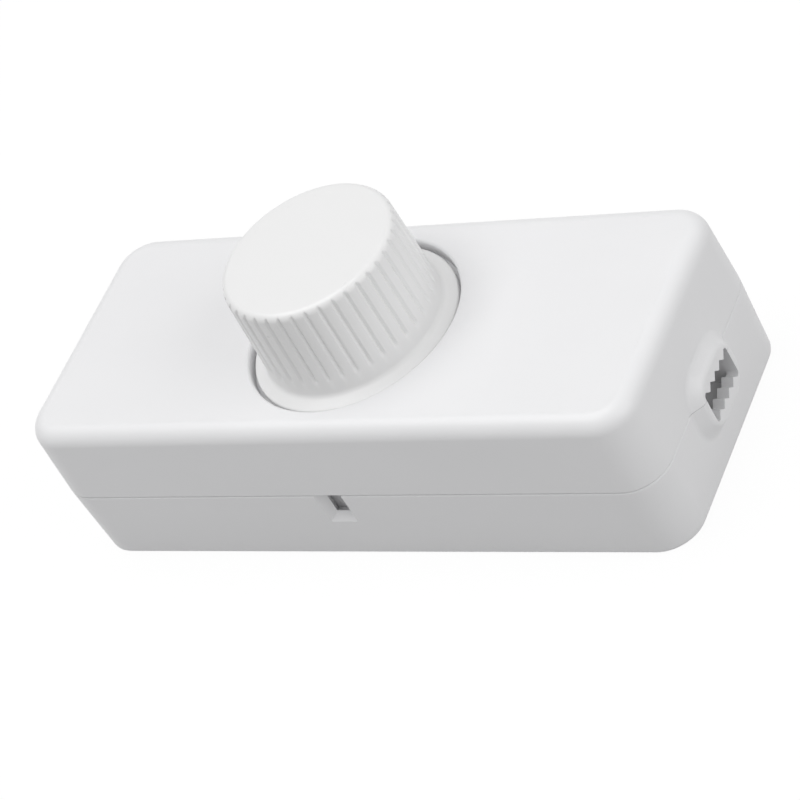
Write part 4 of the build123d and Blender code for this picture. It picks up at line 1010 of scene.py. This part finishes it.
def make_finish(slot):
    """The material of one slot of the record."""
    finishes = bpy.context.scene.dimmer.finishes
    # Each line names the maker, then its colour and its other values in the maker's own order
    makers = {
        "housing_plastic": (moulded, finishes.housing, 0.38, 0.015),
        "knob_plastic": (moulded, finishes.knob, 0.3, 0.015),
        "clamp_plastic": (moulded, (0.80, 0.78, 0.70), 0.5, 0.06, 3000, 0.006),
        "shaft_plastic": (moulded, (0.74, 0.72, 0.65), 0.42, 0.06, 3000, 0.005),
        "block_plastic": (moulded, (0.05, 0.16, 0.08), 0.42, 0.15, 2500, 0.008),
        "black_epoxy": (moulded, (0.02, 0.02, 0.021), 0.55, 0.3, 2200, 0.012),
        "black_plastic": (moulded, (0.024, 0.024, 0.025), 0.45, 0.3, 2500, 0.008),
        "carbon_film": (moulded, (0.012, 0.012, 0.012), 0.62, 0.4, 6000, 0.004),
        "ferrite": (moulded, (0.06, 0.06, 0.065), 0.6, 0.3, 1500, 0.015),
        "capacitor_yellow": (moulded, (0.74, 0.44, 0.03), 0.4, 0.08, 2500, 0.006),
        "capacitor_blue": (moulded, (0.03, 0.10, 0.36), 0.4, 0.12, 2500, 0.006),
        "resistor_lacquer": (moulded, (0.60, 0.42, 0.22), 0.35, 0.12, 2000, 0.01),
        "plated_steel": (metal, (0.66, 0.66, 0.64), 0.32, (1, 1, 0.3)),
        "tinned_copper": (metal, (0.72, 0.72, 0.71), 0.3, (1, 1, 0.2)),
        "brass": (metal, (0.72, 0.50, 0.18), 0.3, (0.2, 1, 1)),
        "bronze_spring": (metal, (0.66, 0.38, 0.18), 0.28, (0.2, 1, 1)),
        "aluminium": (metal, (0.76, 0.76, 0.77), 0.38, (1, 0.15, 1)),
        "board_laminate": (laminate, (0.42, 0.22, 0.08)),
        "phenolic": (laminate, (0.16, 0.07, 0.03)),
        "enamelled_wire": (varnished_wire, (0.58, 0.18, 0.05)),
        "diac_glass": (tinted_glass, (0.12, 0.28, 0.62)),
    }
    maker, *values = makers[slot]
    return maker(slot, *values)


def finish_of(slot):
    """The material of a slot, made once."""
    return bpy.data.materials.get("finish_" + slot) or make_finish(slot)


class DIMMER_OT_works(bpy.types.Operator):
    """Gives every part of the works its finish."""

    bl_idname = "dimmer.works"
    bl_label = "Works"

    def execute(self, context):
        for part in frame["record"]["subparts"]:
            node = frame["nodes"][part["node"]]
            node.data.materials.clear()
            node.data.materials.append(finish_of(part["material_slot"]))
        return {"FINISHED"}


def aim(camera, stage):
    """Puts the camera at its angle and distance, rolled about its own axis."""
    back = Vector((math.sin(stage.azimuth) * math.cos(stage.elevation),
                   -math.cos(stage.azimuth) * math.cos(stage.elevation), math.sin(stage.elevation)))
    right = Vector((math.cos(stage.azimuth), math.sin(stage.azimuth), 0))
    up = back.cross(right)
    turned_right = math.cos(stage.roll) * right + math.sin(stage.roll) * up
    turned_up = math.cos(stage.roll) * up - math.sin(stage.roll) * right
    eye = Vector(stage.target) + stage.distance * back
    rows = Matrix((turned_right, turned_up, back)).transposed().to_4x4()
    camera.matrix_world = Matrix.Translation(eye) @ rows


def lamp(name, place, size, power):
    """A square soft light that faces the origin."""
    deselect_all()
    bpy.ops.object.light_add(type="AREA", location=place)
    light = bpy.context.active_object
    light.name = name
    light.data.size = size
    light.data.energy = power
    light.rotation_euler = (-Vector(place)).to_track_quat("-Z", "Y").to_euler()


def mix(tree, share, first, second):
    """Mixes two shaders by a share, which is a number or the output of a node."""
    node = add_node(tree, "ShaderNodeMixShader")
    if isinstance(share, float):
        node.inputs["Fac"].default_value = share
    else:
        tree.links.new(share, node.inputs["Fac"])
    tree.links.new(first.outputs[0], node.inputs[1])
    tree.links.new(second.outputs[0], node.inputs[2])
    return node


def larger(tree, first, second):
    """The larger of two outputs."""
    node = add_node(tree, "ShaderNodeMath")
    node.operation = "MAXIMUM"
    tree.links.new(first, node.inputs[0])
    tree.links.new(second, node.inputs[1])
    return node.outputs[0]


def floor_paint(colour, stage):
    """A dull paint that looks white, seen directly or by way of the part, with a share of its shade."""
    material = bpy.data.materials.new("floor_paint")
    material.use_nodes = True
    tree = material.node_tree
    tree.nodes.clear()
    surface = add_node(tree, "ShaderNodeBsdfDiffuse", {"Color": (*colour, 1)})
    path = add_node(tree, "ShaderNodeLightPath").outputs
    seen = larger(tree, path["Is Camera Ray"], path["Is Glossy Ray"])
    seen_or_through = larger(tree, seen, path["Is Transmission Ray"])
    white = add_node(tree, "ShaderNodeEmission", {"Strength": stage.white})
    veil = mix(tree, stage.shadow, white, surface)
    output = add_node(tree, "ShaderNodeOutputMaterial")
    tree.links.new(mix(tree, seen_or_through, surface, veil).outputs[0], output.inputs["Surface"])
    return material


class DIMMER_OT_stage(bpy.types.Operator):
    """Adds the floor, the light and the camera."""

    bl_idname = "dimmer.stage"
    bl_label = "Stage"

    def execute(self, context):
        settings = context.scene.dimmer
        stage = settings.stage
        deselect_all()
        bpy.ops.mesh.primitive_circle_add(vertices=DISC_SIDES, radius=stage.floor_radius, fill_type="NGON",
                                          location=(0, 0, -stage.floor_drop))
        floor = settle(bpy.context.active_object, "floor")
        floor.data.materials.append(floor_paint(settings.finishes.floor, stage))
        lamp("key_light", stage.key_place, stage.key_size, stage.key)
        lamp("side_light", stage.side_place, stage.side_size, stage.side)
        lamp("front_light", stage.front_place, stage.front_size, stage.front)
        self.light_sky(context.scene, stage.sky)
        deselect_all()
        bpy.ops.object.camera_add()
        camera = bpy.context.active_object
        camera.data.lens = stage.lens
        camera.data.sensor_width = SENSOR_WIDTH
        camera.data.clip_start = NEAREST_VIEW
        camera.data.clip_end = FARTHEST_VIEW
        aim(camera, stage)
        context.scene.camera = camera
        context.scene.view_settings.view_transform = "Standard"
        return {"FINISHED"}

    def light_sky(self, scene, strength):
        """An even sky that the camera sees as white."""
        scene.world = bpy.data.worlds.new("sky")
        scene.world.use_nodes = True
        tree = scene.world.node_tree
        tree.nodes.clear()
        path = add_node(tree, "ShaderNodeLightPath")
        light = add_node(tree, "ShaderNodeBackground", {"Color": WHITE, "Strength": strength})
        white = add_node(tree, "ShaderNodeBackground", {"Color": WHITE, "Strength": 1.0})
        output = add_node(tree, "ShaderNodeOutputWorld")
        choice = mix(tree, path.outputs["Is Camera Ray"], light, white)
        tree.links.new(choice.outputs[0], output.inputs["Surface"])


class DIMMER_PT_panel(bpy.types.Panel):
    """Lists the sizes, the colours and the steps."""

    bl_label = "Inline dimmer"
    bl_idname = "DIMMER_PT_panel"
    bl_space_type = "VIEW_3D"
    bl_region_type = "UI"
    bl_category = "Dimmer"

    def draw(self, context):
        settings = context.scene.dimmer
        for group in DimmerSettings.__annotations__:
            box_layout = self.layout.box()
            box_layout.label(text=group.capitalize())
            sizes = getattr(settings, group)
            for name in sizes.__annotations__:
                box_layout.prop(sizes, name)
        for step in STEPS:
            self.layout.operator(step.bl_idname)


STEPS = (DIMMER_OT_base_shell, DIMMER_OT_top_cover, DIMMER_OT_rotary_knob, DIMMER_OT_works, DIMMER_OT_stage)
CLASSES = (HousingSizes, EntrySizes, NotchSizes, HookSizes, PostSizes, DishSizes, KnobSizes, StageSettings,
           Finishes, DimmerSettings, *STEPS, DIMMER_PT_panel)


def register():
    for cls in CLASSES:
        bpy.utils.register_class(cls)
    bpy.types.Scene.dimmer = PointerProperty(type=DimmerSettings)


def unregister():
    del bpy.types.Scene.dimmer
    for cls in reversed(CLASSES):
        bpy.utils.unregister_class(cls)


def main():
    register()
    bpy.ops.dimmer.works()
    bpy.ops.dimmer.base_shell()
    bpy.ops.dimmer.top_cover()
    bpy.ops.dimmer.rotary_knob()
    bpy.ops.dimmer.stage()


if __name__ == "__main__":
    main()
